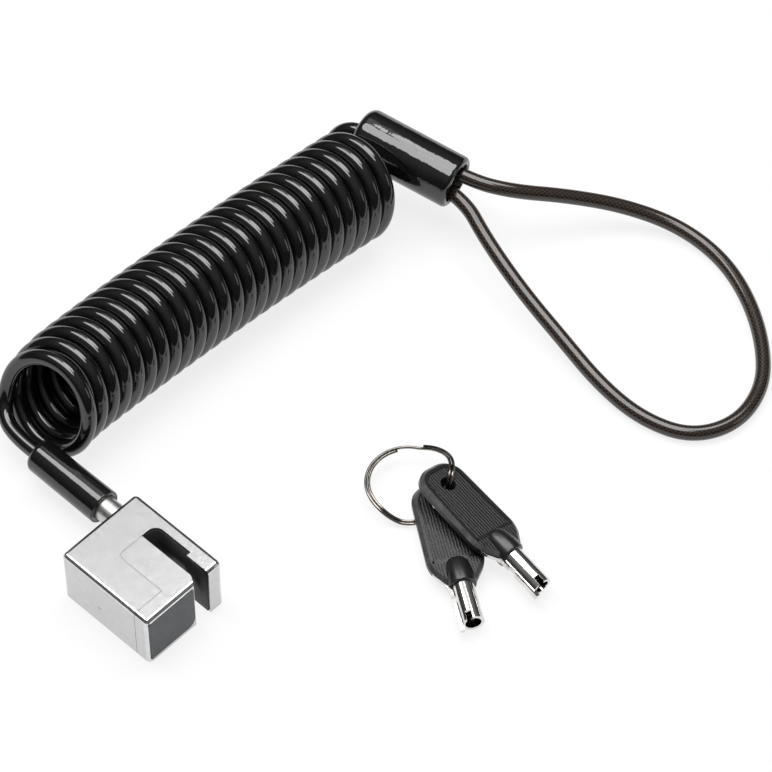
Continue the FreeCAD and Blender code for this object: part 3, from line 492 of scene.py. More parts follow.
class Assembly:
    """What every sub-assembly needs to make, dress and seat its pieces."""

    def carry(self, finish: Finish, *nodes: str) -> None:
        """Keep CAD nodes and give them a finish.

        Args:
            finish: the finish for all of them.
            nodes: the nodes' names.
        """
        for node in nodes:
            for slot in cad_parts[node].material_slots:
                slot.material = finish.material()
            log.info("kept %s as %s", node, finish.name)

    def seat(self, piece: Piece, body: Body, slot: Slot, node: str, *finishes: Finish) -> None:
        """Finish a piece and let it ride on its body.

        Args:
            piece: the new piece, in place.
            body: the body that it moves with.
            slot: the name of a material slot; not used.
            node: the CAD node that it stands for.
            finishes: its finishes, in the order of its faces' material numbers.
        """
        for finish in finishes:
            piece.data.materials.append(finish.material())
        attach(piece, body.value)
        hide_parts(node)
        log.info("made %s on %s", piece.name, body.value)

    def piece_from(self, name: str, shape: Shape) -> Piece:
        """Turn a bmesh into a smooth-shaded piece at the origin.

        Args:
            name: the piece's name.
            shape: the bmesh, which is freed.

        Returns:
            The new object.
        """
        mesh = mesh_from(name, shape)
        for layer in ("custom_normal", "sharp_edge", "sharp_face"):
            if layer in mesh.attributes:
                mesh.attributes.remove(mesh.attributes[layer])
        mesh.shade_smooth()
        return placed(name, mesh)

    def merged(self, node: str) -> Shape:
        """Copy a CAD node's triangles and merge them into whole faces.

        Args:
            node: the node's name.

        Returns:
            The merged copy.
        """
        shape = bmesh.new()
        shape.from_mesh(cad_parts[node].data)
        bmesh.ops.remove_doubles(shape, verts=shape.verts, dist=0.0005 * MM)
        flat = math.radians(0.4)
        bmesh.ops.dissolve_limit(shape, angle_limit=flat, verts=shape.verts, edges=shape.edges)
        return shape

    def raised(self, corners: list[Vector], way: Vector) -> Shape:
        """Raise a closed shape from a flat outline.

        Args:
            corners: the outline's corners.
            way: from the outline to the raised face.

        Returns:
            The raised shape.
        """
        shape = bmesh.new()
        face = shape.faces.new([shape.verts.new(corner) for corner in corners])
        risen = bmesh.ops.extrude_face_region(shape, geom=[face], use_keep_orig=True)["geom"]
        tops = [v for v in risen if isinstance(v, bmesh.types.BMVert)]
        bmesh.ops.translate(shape, verts=tops, vec=way)
        bmesh.ops.recalc_face_normals(shape, faces=shape.faces)
        return shape

    def bevel(self, shape: Shape, edges: Edges, width: float, segments: int = 8) -> None:
        """Round or chamfer some edges of a shape.

        Args:
            shape: the shape.
            edges: the edges.
            width: radius of the rounding, or width of the chamfer.
            segments: faces across the rounding, or 1 for a chamfer.
        """
        bmesh.ops.bevel(
            shape, geom=edges, offset=width * MM, offset_type="OFFSET", affect="EDGES",
            segments=segments, profile=0.5, material=-1,
        )

    def mark_edges(self, shape: Shape) -> None:
        """Give slanting faces, such as chamfers, the second finish."""
        for face in shape.faces:
            face.material_index = int(max(abs(c) for c in face.normal) < SQUARE)

    def round_chamfers(self, shape: Shape, radius: float = 0.48) -> None:
        """Round both rims of the chamfers round the top, so that they read as one radius.

        Args:
            shape: the shape, whose chamfered rims lie in level planes.
            radius: radius of the rounding.
        """
        rims = []
        for edge in shape.edges:
            slopes = sorted(face.normal.z for face in edge.link_faces)
            level = abs(edge.verts[0].co.z - edge.verts[1].co.z) < LEVEL * MM
            beside = len(slopes) == 2 and (slopes[0] < 1 - SQUARE or slopes[1] > SQUARE)
            if level and beside and any(SLANTED[0] < slope < SLANTED[1] for slope in slopes):
                rims.append(edge)
        self.bevel(shape, rims, radius, 4)

    def round_uprights(self, shape: Shape, axis: str, *corners: Place) -> None:
        """Round the edges of a shape that run along an axis at some corners.

        Args:
            shape: the shape.
            axis: the axis that the edges run along.
            corners: the two places across that axis and the radius of each rounding.
        """
        across = [i for i in range(3) if i != "xyz".index(axis)]
        for first, second, radius in corners:
            spot = (first * MM, second * MM)
            edges = [
                e for e in shape.edges
                if all(abs(v.co[i] - s) < NEAR * MM for v in e.verts for i, s in zip(across, spot))
            ]
            self.bevel(shape, edges, radius)

    def break_edges(self, piece: Piece, width: float, segments: int = 3, finish: int = -1) -> None:
        """Break the piece's sharp edges by a small radius and keep its flat faces flat.

        Args:
            piece: the piece.
            width: width of the rounding.
            segments: faces across the rounding.
            finish: number of the finish on the rounding, or -1 for that of its neighbours.
        """
        bevel = piece.modifiers.new("broken_edges", "BEVEL")
        bevel.width = width * MM
        bevel.segments = segments
        bevel.limit_method = "ANGLE"
        bevel.angle_limit = math.radians(24.0)
        bevel.material = finish
        level = piece.modifiers.new("level_faces", "WEIGHTED_NORMAL")
        level.weight = 100
        level.keep_sharp = True

    def lathe(
        self, profile: Pairs, start: Vector, way: Vector, rounds: Rounds = (), steps: int = 96
    ) -> Shape:
        """Turn a closed profile round an axis and round some of its rims.

        Args:
            profile: distances along the axis and radii, in order.
            start: where the axis starts.
            way: the axis' direction.
            rounds: numbers of corners of the profile and the radii there, smallest first.
            steps: sides of the turned piece.

        Returns:
            The turned shape.
        """
        shape = bmesh.new()
        points = [shape.verts.new((radius * MM, 0, along * MM)) for along, radius in profile]
        edges = [shape.edges.new(pair) for pair in zip(points, points[1:])]
        bmesh.ops.spin(
            shape, geom=points + edges, cent=(0, 0, 0), axis=(0, 0, 1), angle=2 * math.pi,
            steps=steps, use_merge=True,
        )
        bmesh.ops.remove_doubles(shape, verts=shape.verts, dist=0.001 * MM)
        bmesh.ops.recalc_face_normals(shape, faces=shape.faces)
        for number, radius in rounds:
            spot = Vector(profile[number]) * MM
            rim = [
                e for e in shape.edges
                if all(
                    abs(v.co.z - spot[0]) < NEAR * MM and abs(v.co.xy.length - spot[1]) < NEAR * MM
                    for v in e.verts
                )
            ]
            self.bevel(shape, rim, radius)
        turn = way.to_track_quat("Z", "Y").to_matrix().to_4x4()
        bmesh.ops.transform(shape, matrix=Matrix.Translation(start) @ turn, verts=shape.verts)
        return shape

    def curve(self, name: str, route: list[Vector], diameter: float) -> Piece:
        """Lay a round cable along one smooth spline.

        Args:
            name: the piece's name.
            route: the route's points.
            diameter: the cable's diameter.

        Returns:
            The curve object.
        """
        data = bpy.data.curves.new(name, "CURVE")
        data.dimensions = "3D"
        data.resolution_u = 4
        data.bevel_depth = diameter / 2 * MM
        data.bevel_resolution = 8
        data.use_fill_caps = True
        spline = data.splines.new("NURBS")
        spline.points.add(len(route) - 1)
        for knot, place in zip(spline.points, route):
            knot.co = (*place, 1.0)
        spline.order_u = 3
        spline.use_endpoint_u = True
        return placed(name, data)


@dataclass
class LockHead(Assembly):
    """The chromed head with its hook arm, and the lock inside it.

    Attributes:
        edge: width of its broken edges.
        slot_end: corner at the end of the slot, with its radius.
        pocket: corner of the opening for the jaw, with its radius.
        lining_route: the lining's way along the slot's wall, seen from above.
        lining_rise: the lining's lower and upper edge.
        lining_wall: the lining's thickness.
    """

    edge: float = 0.16
    slot_end: Place = (-4.3, 8.8, 2.5)
    pocket: Place = (-4.3, -3.2, 1.4)
    lining_route: Pairs = ((-4.3, 4.5), (-4.3, 8.8), (7.0, 8.8), (7.0, 7.6), (13.4, 7.6))
    lining_rise: Pair = (0.3, 15.3)
    lining_wall: float = 0.35

    def build(self) -> None:
        """Build and dress the head and the lock inside it."""
        shape = self.merged("lock_body")
        self.round_chamfers(shape)
        self.round_uprights(shape, "z", self.slot_end, self.pocket)
        self.mark_edges(shape)
        shell = self.piece_from("hook_head", shape)
        self.break_edges(shell, self.edge, finish=1)
        self.seat(shell, Body.HEAD, Slot.SATIN, "lock_body", SATIN_CHROME, TUMBLED_EDGE)
        lining = self.piece_from("slot_lining", self.lining())
        self.seat(lining, Body.HEAD, Slot.BLACK_RUBBER, "slot_liner", SLOT_LINING)
        self.carry(GROUND_STEEL, "cylinder_pin", "swivel_pins", "stop_pin", "driver_springs")
        self.carry(GROUND_STEEL, "driver_pins", "drive_pinion")
        self.carry(TURNED_BRASS, "lock_shell", "driver_chamber", "lock_plug", "key_pins")

    def lining(self) -> Shape:
        """Bend the black lining round the end of the slot.

        Returns:
            The lining, thickened inwards.
        """
        shape = bmesh.new()
        low, high = self.lining_rise
        foot = [shape.verts.new(point(x, y, low)) for x, y in self.lining_route]
        edges = [shape.edges.new(pair) for pair in zip(foot, foot[1:])]
        risen = bmesh.ops.extrude_edge_only(shape, edges=edges)["geom"]
        tops = [v for v in risen if isinstance(v, bmesh.types.BMVert)]
        bmesh.ops.translate(shape, verts=tops, vec=point(0, 0, high - low))
        self.round_uprights(shape, "z", self.slot_end)
        bmesh.ops.recalc_face_normals(shape, faces=shape.faces)
        bmesh.ops.solidify(shape, geom=shape.faces[:], thickness=self.lining_wall * MM)
        bmesh.ops.recalc_face_normals(shape, faces=shape.faces)
        return shape


@dataclass
class SlidingJaw(Assembly):
    """The jaw that closes on the anchor, its rack and the pad on its end.

    Attributes:
        edge: width of the jaw's broken edges.
        corners: the corners of the jaw's end, in Y and Z, with their radii.
        pad_edge: width of the pad's broken edges.
        pad_back: where the pad starts along X.
        pad_depth: the pad's thickness.
    """

    edge: float = 0.16
    corners: Places = (
        (-11.35, 0.8, 1.3), (2.76, 0.8, 2.3), (2.76, 14.95, 1.1), (-11.35, 14.95, 1.1),
    )
    pad_edge: float = 0.25
    pad_back: float = 13.2
    pad_depth: float = 0.9

    def build(self) -> None:
        """Build and dress the jaw and what moves with it."""
        shape = self.merged("sliding_jaw")
        self.round_chamfers(shape)
        self.round_uprights(shape, "x", *self.corners)
        self.mark_edges(shape)
        jaw = self.piece_from("jaw", shape)
        self.break_edges(jaw, self.edge, finish=1)
        self.seat(jaw, Body.JAW, Slot.SATIN, "sliding_jaw", SATIN_CHROME, TUMBLED_EDGE)
        back = [point(self.pad_back, y, z) for y, z, _ in self.corners]
        shape = self.raised(back, point(self.pad_depth, 0, 0))
        self.round_uprights(shape, "x", *self.corners)
        pad = self.piece_from("jaw_pad", shape)
        self.break_edges(pad, self.pad_edge)
        self.seat(pad, Body.JAW, Slot.GREY_RUBBER, "end_pad", GREY_PAD)
        self.carry(GROUND_STEEL, "rack_bolt", "bolt_pin", "guide_rod")


@dataclass
class CoilCable(Assembly):
    """The swivelling stud, its boot and the curly cable.

    Attributes:
        stud_edge: width of the stud's broken edges.
        exit: where the cable leaves the boot.
        boot_front: where the boot starts along X.
        boot: the boot's profile, from its front.
        boot_rounds: radii at some of the profile's corners.
        diameter: the cable's diameter.
        length: the cable's length.
        turns: how often the cable goes round.
        steps: points of a turn.
        radius: radius of the coil at the cable's middle.
        pitch: distance between turns.
        start: where the coil's axis starts, in X and Y.
        drift: how the axis drifts in X, with its run and with the run's square.
        lift: how far the coil lies over the ground.
        yaw: heading of the first turn in radians, and its growth with the run.
        lean: how far the first turn's top is ahead, per height, and its growth with each turn.
        loose_turns: how many turns at the start lie apart.
        loose_shift: how far the first point of these is moved.
        loose_yaw: how far it is turned.
        loose_lean: how far its lean changes.
        lead: the cable's way from the boot to the coil.
        tail: its way from the coil to the sleeve.
    """

    stud_edge: float = 0.15
    exit: Place = (-43.0, 7.6, 7.8)
    boot_front: float = -20.5
    boot: Pairs = (
        (1.6, 0.0), (1.6, 3.35), (0.0, 3.6), (0.0, 4.35), (22.5, 4.2), (22.5, 1.95), (21.0, 1.7),
        (21.0, 0.0),
    )
    boot_rounds: Rounds = ((5, 0.3), (3, 0.35), (4, 1.6))
    diameter: float = 3.9
    length: float = 2000.0
    turns: float = 24.75
    steps: int = 20
    radius: float = 11.85
    pitch: float = 3.99
    start: Pair = (-49.15, 15.33)
    drift: Pair = (0.0062, 0.000575)
    lift: float = 0.04
    yaw: Pair = (-0.094, 0.00115)
    lean: Pair = (0.42, -0.002)
    loose_turns: float = 2.6
    loose_shift: Place = (2.0, -0.75, 0.85)
    loose_yaw: float = 0.045
    loose_lean: float = -0.05
    lead: Places = (
        (-38.0, 7.6, 7.8), (-43.0, 7.6, 7.8), (-48.5, 7.6, 7.8), (-54.3, 8.5, 7.9),
        (-58.2, 11.2, 9.6),
    )
    tail: Places = (
        (-47.5, 111.0, 2.0), (-52.5, 113.3, 3.2), (-56.0, 116.3, 6.4), (-57.5, 119.8, 11.0),
        (-56.2, 122.6, 15.8), (-52.8, 124.2, 18.2), (-49.5, 125.1, 18.0), (-41.0, 127.1, 17.0),
    )

    def ring_place(self, turn: float) -> Vector:
        """Give the middle of the cable after a number of turns.

        Args:
            turn: turns from the start of the coil.

        Returns:
            The place in metres.
        """
        loose = max(0.0, 1.0 - turn / self.loose_turns) ** 2
        run = self.pitch * turn
        # a spline runs inside its points, by 1.2 % with 20 points a turn
        radius = self.radius / math.cos(math.pi / self.steps)
        heading = self.yaw[0] + self.yaw[1] * run + self.loose_yaw * loose
        lean = self.lean[0] + self.lean[1] * turn + self.loose_lean * loose
        drift = self.drift[0] * run + self.drift[1] * run**2
        across = math.cos(2 * math.pi * turn) * radius
        rise = math.sin(2 * math.pi * turn) * radius
        x = self.start[0] + drift - across * math.cos(heading)
        y = self.start[1] + run + across * math.sin(heading) + rise * lean
        z = self.diameter / 2 + self.radius + self.lift + rise
        return (Vector((x, y, z)) + Vector(self.loose_shift) * loose) * MM

    def build(self, sleeve: Piece) -> None:
        """Build the stud, the boot and the cable.

        Args:
            sleeve: the crimp sleeve that the cable ends in; not used.
        """
        stud = self.piece_from("swivel_stud", self.merged("cable_ferrule"))
        self.break_edges(stud, self.stud_edge)
        self.seat(stud, Body.CABLE, Slot.STEEL, "cable_ferrule", SATIN_STEEL)
        front = point(self.boot_front, *self.exit[1:])
        shape = self.lathe(self.boot, front, Vector((-1, 0, 0)), self.boot_rounds)
        boot = self.piece_from("cable_boot_moulded", shape)
        self.seat(boot, Body.CABLE, Slot.BLACK_RUBBER, "cable_boot", BLACK_BOOT)
        count = int(self.turns * self.steps)
        rings = [self.ring_place(i / self.steps) for i in range(count + 1)]
        route = [point(*p) for p in self.lead] + rings + [point(*p) for p in self.tail]
        coil = self.curve("curly_cable", route, self.diameter)
        self.seat(coil, Body.CABLE, Slot.BLACK_PLASTIC, "coil_cable", BLACK_JACKET)


@dataclass
class AnchorLoop(Assembly):
    """The crimp sleeve and the loop that goes round a desk leg.

    Attributes:
        start: where the sleeve starts in the CAD model.
        way: the sleeve's direction.
        early: how much earlier the sleeve starts here.
        sleeve: the sleeve's profile, from its start.
        sleeve_rounds: radii at some of the profile's corners.
        diameter: the loop's diameter.
        aside: how far each end of the loop lies beside the sleeve's axis.
        across: roughly the direction from one end to the other.
        seated: how far the ends reach into the sleeve.
        straight: how far they run on straight outside it.
        route: the loop's way from one end to the other.
    """

    start: Place = (-49.5, 125.1, 18.0)
    way: Place = (0.96752, 0.22515, -0.11494)
    early: float = 1.7
    sleeve: Pairs = (
        (8.0, 0.0), (8.0, 1.98), (0.5, 2.05), (0.0, 2.6), (0.0, 6.8), (27.8, 6.8), (27.8, 5.1),
        (25.3, 4.9), (25.3, 0.0),
    )
    sleeve_rounds: Rounds = ((6, 0.45), (5, 1.15), (4, 2.4))
    diameter: float = 3.7
    aside: float = 2.125
    across: Place = (-0.17, 1.49, 1.48)
    seated: float = 8.0
    straight: float = 2.5
    route: Places = (
        (-13.0, 138.4, 14.9), (-4.5, 149.5, 10.6), (5.5, 159.5, 6.4), (17.5, 166.0, 3.2),
        (31.0, 166.5, 1.95), (44.0, 161.5, 1.9), (56.0, 153.0, 1.95), (64.5, 143.0, 1.9),
        (67.0, 130.5, 1.95), (61.5, 120.0, 1.9), (49.5, 116.0, 1.95), (36.0, 116.5, 2.6),
        (21.5, 119.0, 5.0), (6.8, 121.2, 8.0), (-8.8, 125.0, 11.2),
    )

    def build(self) -> Piece:
        """Build the sleeve and the loop.

        Returns:
            The sleeve, which the curly cable ends in.
        """
        way = Vector(self.way).normalized()
        start = point(*self.start) - way * self.early * MM
        end = start + way * max(along for along, _ in self.sleeve) * MM
        shape = self.lathe(self.sleeve, start, way, self.sleeve_rounds, 128)
        sleeve = self.piece_from("crimp_sleeve_moulded", shape)
        self.seat(sleeve, Body.CABLE, Slot.BLACK_PLASTIC, "crimp_sleeve", BLACK_MOULDING)
        self.carry(CRIMPED_ALUMINIUM, "crimp_ferrule")
        side = Vector(self.across)
        side = (side - way * side.dot(way)).normalized() * self.aside * MM
        inner, outer = (way * run * MM for run in (-self.seated, self.straight))
        leave = [end + side + inner, end + side + outer]
        enter = [end - side + outer, end - side + inner]
        route = leave + [point(*p) for p in self.route] + enter
        loop, middle = self.mapped_cable("loop_cable_braided", route)
        self.seat(loop, Body.CABLE, Slot.JACKET, "loop_cable", SMOKED_JACKET)
        return sleeve

    def mapped_cable(self, name: str, route: list[Vector]) -> tuple[Piece, list[Vector]]:
        """Make a mesh cable with its own map, which runs along it and round it.

        Args:
            name: the piece's name.
            route: the route's points.

        Returns:
            The cable and its middle line.
        """
        line = self.curve(name + "_line", route, 0.0)
        line.data.resolution_u = 10
        line.data.use_fill_caps = False
        middle = [v.co.copy() for v in bpy.data.meshes.new_from_object(line).vertices]
        line.data.bevel_depth = self.diameter / 2 * MM
        line.data.bevel_resolution = 10
        line.data.use_fill_caps = True
        graph = bpy.context.evaluated_depsgraph_get()
        tube = bpy.data.meshes.new_from_object(line.evaluated_get(graph))
        tube.uv_layers[0].name = "cable"
        bpy.data.objects.remove(line)
        return placed(name, tube), middle


@dataclass
class TubularKey(Assembly):
    """A tubular key: a moulded bow on a plated steel tube.

    In the key's own frame the hole is at the origin, the tube runs along X and the upper
    face looks along Z.

    Attributes:
        body: the body that the key is.
        name: the start of its nodes' names.
        hole: place of its hole.
        turn: its heading, pitch and roll in degrees.
        thickness: thickness of the bow.
        chamfer: width of the bow's chamfered rims.
        bow_edge: width of the bow's broken edges.
        corners: the corners of the bow's outline, with their radii.
        field_end: where the sunken, ribbed field ends in a step.
        border: width of the plain border round the field.
        depth: depth of the field.
        draft: width of the field's slanting walls.
        eye: radius of the hole.
        neck: profile of the neck that the tube comes out of.
        neck_start: where the neck starts.
        tube_edge: width of the tube's broken edges.
        waist: where the strip along the tube is cut back, from and to.
        waist_ramp: length of the slant at both ends of the cut.
        waist_side: how far the strip reaches there.
        flare: outline of the steel core that shows at the bow's shoulder.
        flare_half: half its thickness.
    """

    body: Body
    name: str
    hole: Place
    turn: Place
    thickness: float = 3.0
    chamfer: float = 0.85
    bow_edge: float = 0.12
    corners: Places = (
        (-6.0, -6.2, 4.7), (17.4, -6.9, 2.2), (22.7, -3.3, 0.9), (22.7, 3.3, 0.9),
        (17.4, 6.9, 2.2), (-6.0, 6.2, 4.7),
    )
    field_end: float = 15.7
    border: float = 0.85
    depth: float = 0.28
    draft: float = 0.12
    eye: float = 1.9
    neck: Pairs = (
        (0.0, 0.0), (0.1, 1.6), (0.6, 2.4), (1.4, 2.9), (3.0, 3.25), (5.0, 3.45), (7.1, 3.45),
        (7.5, 3.3), (7.65, 3.0), (7.65, 2.4), (6.5, 0.0),
    )
    neck_start: float = 15.6
    tube_edge: float = 0.08
    waist: Pair = (25.7, 27.4)
    waist_ramp: float = 0.15
    waist_side: float = -2.66
    flare: Pairs = (
        (18.6, -6.1), (20.2, -5.35), (21.8, -4.2), (23.4, -3.5), (25.4, -3.35), (25.4, -2.3),
        (21.4, -2.3), (18.2, -4.6),
    )
    flare_half: float = 0.45

    def place(self) -> Matrix:
        """Give the way from the key's own frame to the object's.

        Returns:
            The transformation.
        """
        heading, pitch, roll = (math.radians(a) for a in self.turn)
        turn = Matrix.Rotation(heading, 4, "Z") @ Matrix.Rotation(pitch, 4, "Y")
        return Matrix.Translation(point(*self.hole)) @ turn @ Matrix.Rotation(-roll, 4, "X")

    def prism(self, outline: list[Pair], half: float) -> Shape:
        """Raise an outline by half a thickness to both sides of the key's middle plane."""
        return self.raised([point(x, y, -half) for x, y in outline], point(0, 0, 2 * half))

    def cut_across(self, shape: Shape, x: float) -> None:
        """Divide the faces of a shape that cross a plane at a place along the key."""
        geom = shape.verts[:] + shape.edges[:] + shape.faces[:]
        bmesh.ops.bisect_plane(shape, geom=geom, plane_co=point(x, 0, 0), plane_no=(1, 0, 0))

    def drilled(self, shape: Shape) -> Shape:
        """Drill the hole for the ring.

        Args:
            shape: the bow without its hole, which is freed.

        Returns:
            The bow with its hole.
        """
        drill = bmesh.new()
        bmesh.ops.create_cone(
            drill, cap_ends=True, segments=48, radius1=self.eye * MM, radius2=self.eye * MM,
            depth=3 * self.thickness * MM,
        )
        blank, tool = (placed("blank", mesh_from("blank", s)) for s in (shape, drill))
        hole = blank.modifiers.new("hole", "BOOLEAN")
        hole.operation = "DIFFERENCE"
        hole.solver = "EXACT"
        hole.object = tool
        graph = bpy.context.evaluated_depsgraph_get()
        left = bmesh.new()
        left.from_mesh(bpy.data.meshes.new_from_object(blank.evaluated_get(graph)))
        for used in (blank, tool):
            bpy.data.objects.remove(used)
        return left

    def bow(self) -> Piece:
        """Mould the bow, with a sunken field on both faces, the hole and the neck.

        Returns:
            The bow.
        """
        half = self.thickness / 2
        shape = self.prism([(x, y) for x, y, _ in self.corners], half)
        self.round_uprights(shape, "z", *self.corners)
        rims = [e for e in shape.edges if abs(e.verts[0].co.z - e.verts[1].co.z) < LEVEL * MM]
        self.bevel(shape, rims, self.chamfer, 1)
        self.cut_across(shape, self.field_end + self.border)
        for side in (1.0, -1.0):
            faces = [
                f for f in shape.faces
                if f.normal.z * side > SQUARE and f.calc_center_median().x < self.field_end * MM
            ]
            for width, depth in ((self.border, 0.0), (self.draft, self.depth)):
                bmesh.ops.inset_region(
                    shape, faces=faces, thickness=width * MM, depth=-depth * MM,
                    use_even_offset=True,
                )
        shape = self.drilled(shape)
        for face in shape.faces:
            centre = face.calc_center_median() / MM
            level, slope = abs(centre.z), abs(face.normal.z)
            sunk = abs(level - half + self.depth) < NEAR
            past = centre.x > self.field_end + self.border
            face.material_index = int(slope > SQUARE and (sunk or past))
            # the chamfered rims take the third finish, which is paler: a painted highlight
            if SLANTED[0] < slope < SLANTED[1] and level > half - self.chamfer:
                face.material_index = 2
        neck = self.lathe(self.neck, point(self.neck_start, 0, 0), Vector((1, 0, 0)), steps=64)
        shape.from_mesh(mesh_from("neck", neck))
        bmesh.ops.transform(shape, matrix=self.place(), verts=shape.verts)
        bow = self.piece_from(self.name + "_bow_moulded", shape)
        self.break_edges(bow, self.bow_edge, 2)
        return bow

    def tube(self) -> Piece:
        """Make the plated tube, its strip and the flare of its core.

        Returns:
            The tube.
        """
        shape = self.merged(self.name + "_shank")
        bmesh.ops.transform(shape, matrix=self.place().inverted(), verts=shape.verts)
        first, last = self.waist
        for x in (first - self.waist_ramp, first, last, last + self.waist_ramp):
            self.cut_across(shape, x)
        for vert in shape.verts:
            inside = first - NEAR < vert.co.x / MM < last + NEAR
            if inside and vert.co.y < (self.waist_side - NEAR) * MM:
                vert.co.y = self.waist_side * MM
        shape.from_mesh(mesh_from("flare", self.prism(self.flare, self.flare_half)))
        bmesh.ops.transform(shape, matrix=self.place(), verts=shape.verts)
        tube = self.piece_from(self.name + "_tube", shape)
        self.break_edges(tube, self.tube_edge)
        return tube

    def build(self) -> None:
        """Build and dress the key."""
        ribs = replace(
            RIBBED_NYLON, name=self.name + "_nylon_ribbed", centre=self.hole, heading=self.turn[0]
        )
        # the third finish paints a highlight on the chamfered rims
        finishes = (KEY_NYLON, ribs, RIM_HIGHLIGHT_NYLON)
        self.seat(self.bow(), self.body, Slot.CHARCOAL, self.name + "_bow", *finishes)
        self.seat(self.tube(), self.body, Slot.BRIGHT, self.name + "_shank", BRIGHT_CHROME)


@dataclass
class KeySet(Assembly):
    """The split ring and the two tubular keys on it.

    Attributes:
        pivot: where the ring passes through the keys.
        tight: how far the ring is drawn in towards that place.
        level: how much higher than the middle its far side lies in the CAD model.
        high_side: where round the ring it lies highest, in degrees.
        free_from: degrees beyond which the ring is levelled more and more.
    """

    pivot: Pair = (33.0, 65.0)
    tight: float = 0.93
    level: float = 1.4
    high_side: float = 120.0
    free_from: float = 60.0

    def ring(self) -> Piece:
        """Draw the wound ring in and level it, as it lies in the photograph.

        Returns:
            The ring.
        """
        shape = self.merged("key_ring")
        pivot = point(*self.pivot, 0)
        middle = sum((v.co for v in shape.verts), Vector()) / len(shape.verts)
        for vert in shape.verts:
            angle = math.atan2(vert.co.y - middle.y, vert.co.x - middle.x)
            away = max(0.0, min(1.0, abs(angle) / math.radians(self.free_from) - 1.0))
            drop = self.level * MM * math.cos(angle - math.radians(self.high_side))
            vert.co.z -= drop * away
            vert.co.xy = pivot.xy + (vert.co.xy - pivot.xy) * self.tight
        return self.piece_from("key_ring_wound", shape)

    def build(self) -> None:
        """Build and dress the ring and both keys."""
        self.seat(self.ring(), Body.RING, Slot.STEEL, "key_ring", SPRING_WIRE)
        TubularKey(Body.KEY_1, "key_1", (33.1984, 63.635, 3.5), (-33.5, 0.0, 0.0)).build()
        TubularKey(Body.KEY_2, "key_2", (32.7529, 66.496, 7.85), (-6.0, 7.2, 15.0)).build()


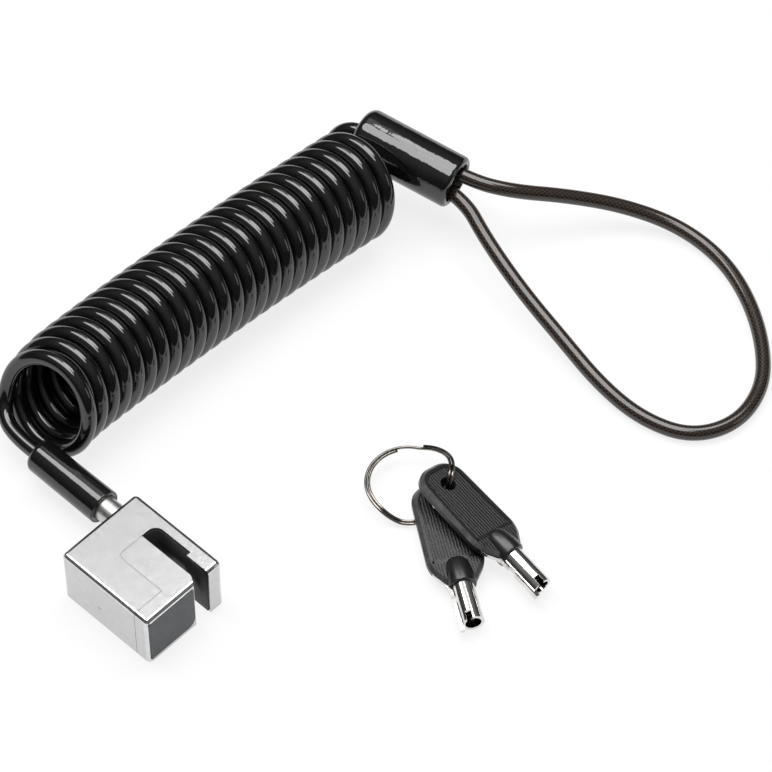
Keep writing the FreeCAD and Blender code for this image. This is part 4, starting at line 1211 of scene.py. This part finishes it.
@dataclass
class Studio:
    """Camera, floor and light.

    Attributes:
        target: the place that the camera and the lamps look at.
        azimuth: the camera's direction from the front, in degrees.
        elevation: its height over the horizon, in degrees.
        distance: its distance.
        lens: its focal length on a sensor 36 mm wide.
        floor_white: how much of its own white the floor shows, the rest being shaded.
        floor_half: half the floor's width, in metres.
        dome: the dome's brightness at the horizon and overhead.
        dome_rise: where it changes from one to the other, as the sine of the height.
    """

    target: Place = (-1.91, 82.38, 0.0)
    azimuth: float = 43.65
    elevation: float = 52.73
    distance: float = 955.77
    lens: float = 186.5
    floor_white: float = 0.82
    floor_half: float = 3.0
    dome: Pair = (0.05, 0.22)
    dome_rise: Pair = (0.35, 0.8)

    def camera(self) -> None:
        """Set up the camera at the photograph's viewing angle."""
        a, e = math.radians(self.azimuth), math.radians(self.elevation)
        back = Vector((math.sin(a) * math.cos(e), -math.cos(a) * math.cos(e), math.sin(e)))
        data = bpy.data.cameras.new("camera")
        data.lens = self.lens
        data.sensor_width = 36.0
        data.clip_start = 0.05
        camera = placed("camera", data)
        camera.location = point(*self.target) + back * self.distance * MM
        camera.rotation_mode = "QUATERNION"
        camera.rotation_quaternion = (-back).to_track_quat("-Z", "Y")
        bpy.context.scene.camera = camera

    def lamp(self, name: str, way: Place, size: Pair, radiance: float, far: float = 0.8) -> None:
        """Hang a soft box that looks at the object.

        Args:
            name: the lamp's name.
            way: direction from the object to the lamp.
            size: its extent along X and across it, in metres.
            radiance: brightness of its face, where 1 is white.
            far: distance in metres.
        """
        data = bpy.data.lights.new(name, "AREA")
        data.shape = "ELLIPSE"
        data.size, data.size_y = size
        data.energy = radiance * math.pi * math.pi / 4 * size[0] * size[1]
        lamp = placed(name, data)
        aim = Vector(way).normalized()
        lamp.location = point(*self.target) + aim * far
        across = (Vector((1, 0, 0)) - aim * aim.x).normalized()
        turn = Matrix((across, aim.cross(across), aim)).transposed()
        lamp.rotation_mode = "QUATERNION"
        lamp.rotation_quaternion = turn.to_quaternion()

    def seen(self, tree: Tree) -> Socket:
        """Tell the rays that see the floor from those that light the object.

        Args:
            tree: the floor's node tree.

        Returns:
            The share of white for such rays and 0 for the rest.
        """
        rays = add(tree, "LightPath")
        either = rays.outputs["Is Camera Ray"]
        for name in ("Is Glossy Ray", "Is Transmission Ray"):
            links = {0: either, 1: rays.outputs[name]}
            either = add(tree, "Math", {"operation": "MAXIMUM"}, links=links).outputs[0]
        white = add(tree, "Math", {"operation": "MULTIPLY"}, {1: self.floor_white}, {0: either})
        return white.outputs[0]

    def floor(self) -> None:
        """Lay a white floor that keeps a light shadow of the object."""
        shape = bmesh.new()
        bmesh.ops.create_grid(shape, x_segments=2, y_segments=2, size=self.floor_half)
        floor = placed("floor", mesh_from("floor", shape))
        made = empty_material("paper_sweep_matt")
        tree = made.node_tree
        paper = add(tree, "BsdfDiffuse", values={"Color": linear("#f8f8f8")})
        white = add(tree, "Emission", values={"Color": linear("#ffffff"), "Strength": 1.0})
        links = {0: self.seen(tree), 1: paper.outputs["BSDF"], 2: white.outputs["Emission"]}
        both = add(tree, "MixShader", links=links)
        add(tree, "OutputMaterial", links={"Surface": both.outputs["Shader"]})
        floor.data.materials.append(made)

    def world(self) -> None:
        """Fill in with a dome that is dark round the horizon and dim overhead."""
        world = bpy.data.worlds.new("studio")
        bpy.context.scene.world = world
        world.use_nodes = True
        tree = world.node_tree
        tree.nodes.clear()
        way = add(tree, "TexCoord").outputs["Generated"]
        rise = add(tree, "SeparateXYZ", links={"Vector": way}).outputs["Z"]
        names = ("From Min", "From Max", "To Min", "To Max")
        values = dict(zip(names, self.dome_rise + self.dome))
        dome = add(tree, "MapRange", values=values, links={"Value": rise})
        camera = add(tree, "LightPath").outputs["Is Camera Ray"]
        # the camera sees plain white, and all else the dome
        links = {0: camera, 2: dome.outputs["Result"]}
        level = add(tree, "Mix", {"data_type": "FLOAT"}, {3: 1.0}, links).outputs[0]
        white = {"Color": linear("#ffffff")}
        sky = add(tree, "Background", values=white, links={"Strength": level})
        add(tree, "OutputWorld", links={"Surface": sky.outputs["Background"]})

    def build(self) -> None:
        """Build the camera, the floor and the light."""
        self.camera()
        self.floor()
        self.world()
        self.lamp("long_box", (-0.25, -0.12, 0.96), (0.92, 0.40), 5.8)
        self.lamp("far_box", (-0.08, 0.34, 0.94), (0.40, 0.40), 5.8)
        self.lamp("back_card", (-0.4256, 0.3436, 0.837), (0.34, 0.34), 0.68, far=0.78)
        self.lamp("right_card", (0.80, 0.44, 0.42), (0.32, 0.32), 1.0)
        bpy.context.scene.view_settings.view_transform = "Standard"


def main() -> None:
    """Build the studio and every sub-assembly in order."""
    logging.basicConfig(level=logging.INFO, format="%(message)s")
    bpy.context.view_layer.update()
    Studio().build()
    sleeve = AnchorLoop().build()
    CoilCable().build(sleeve)
    LockHead().build()
    SlidingJaw().build()
    KeySet().build()


if __name__ == "__main__":
    main()
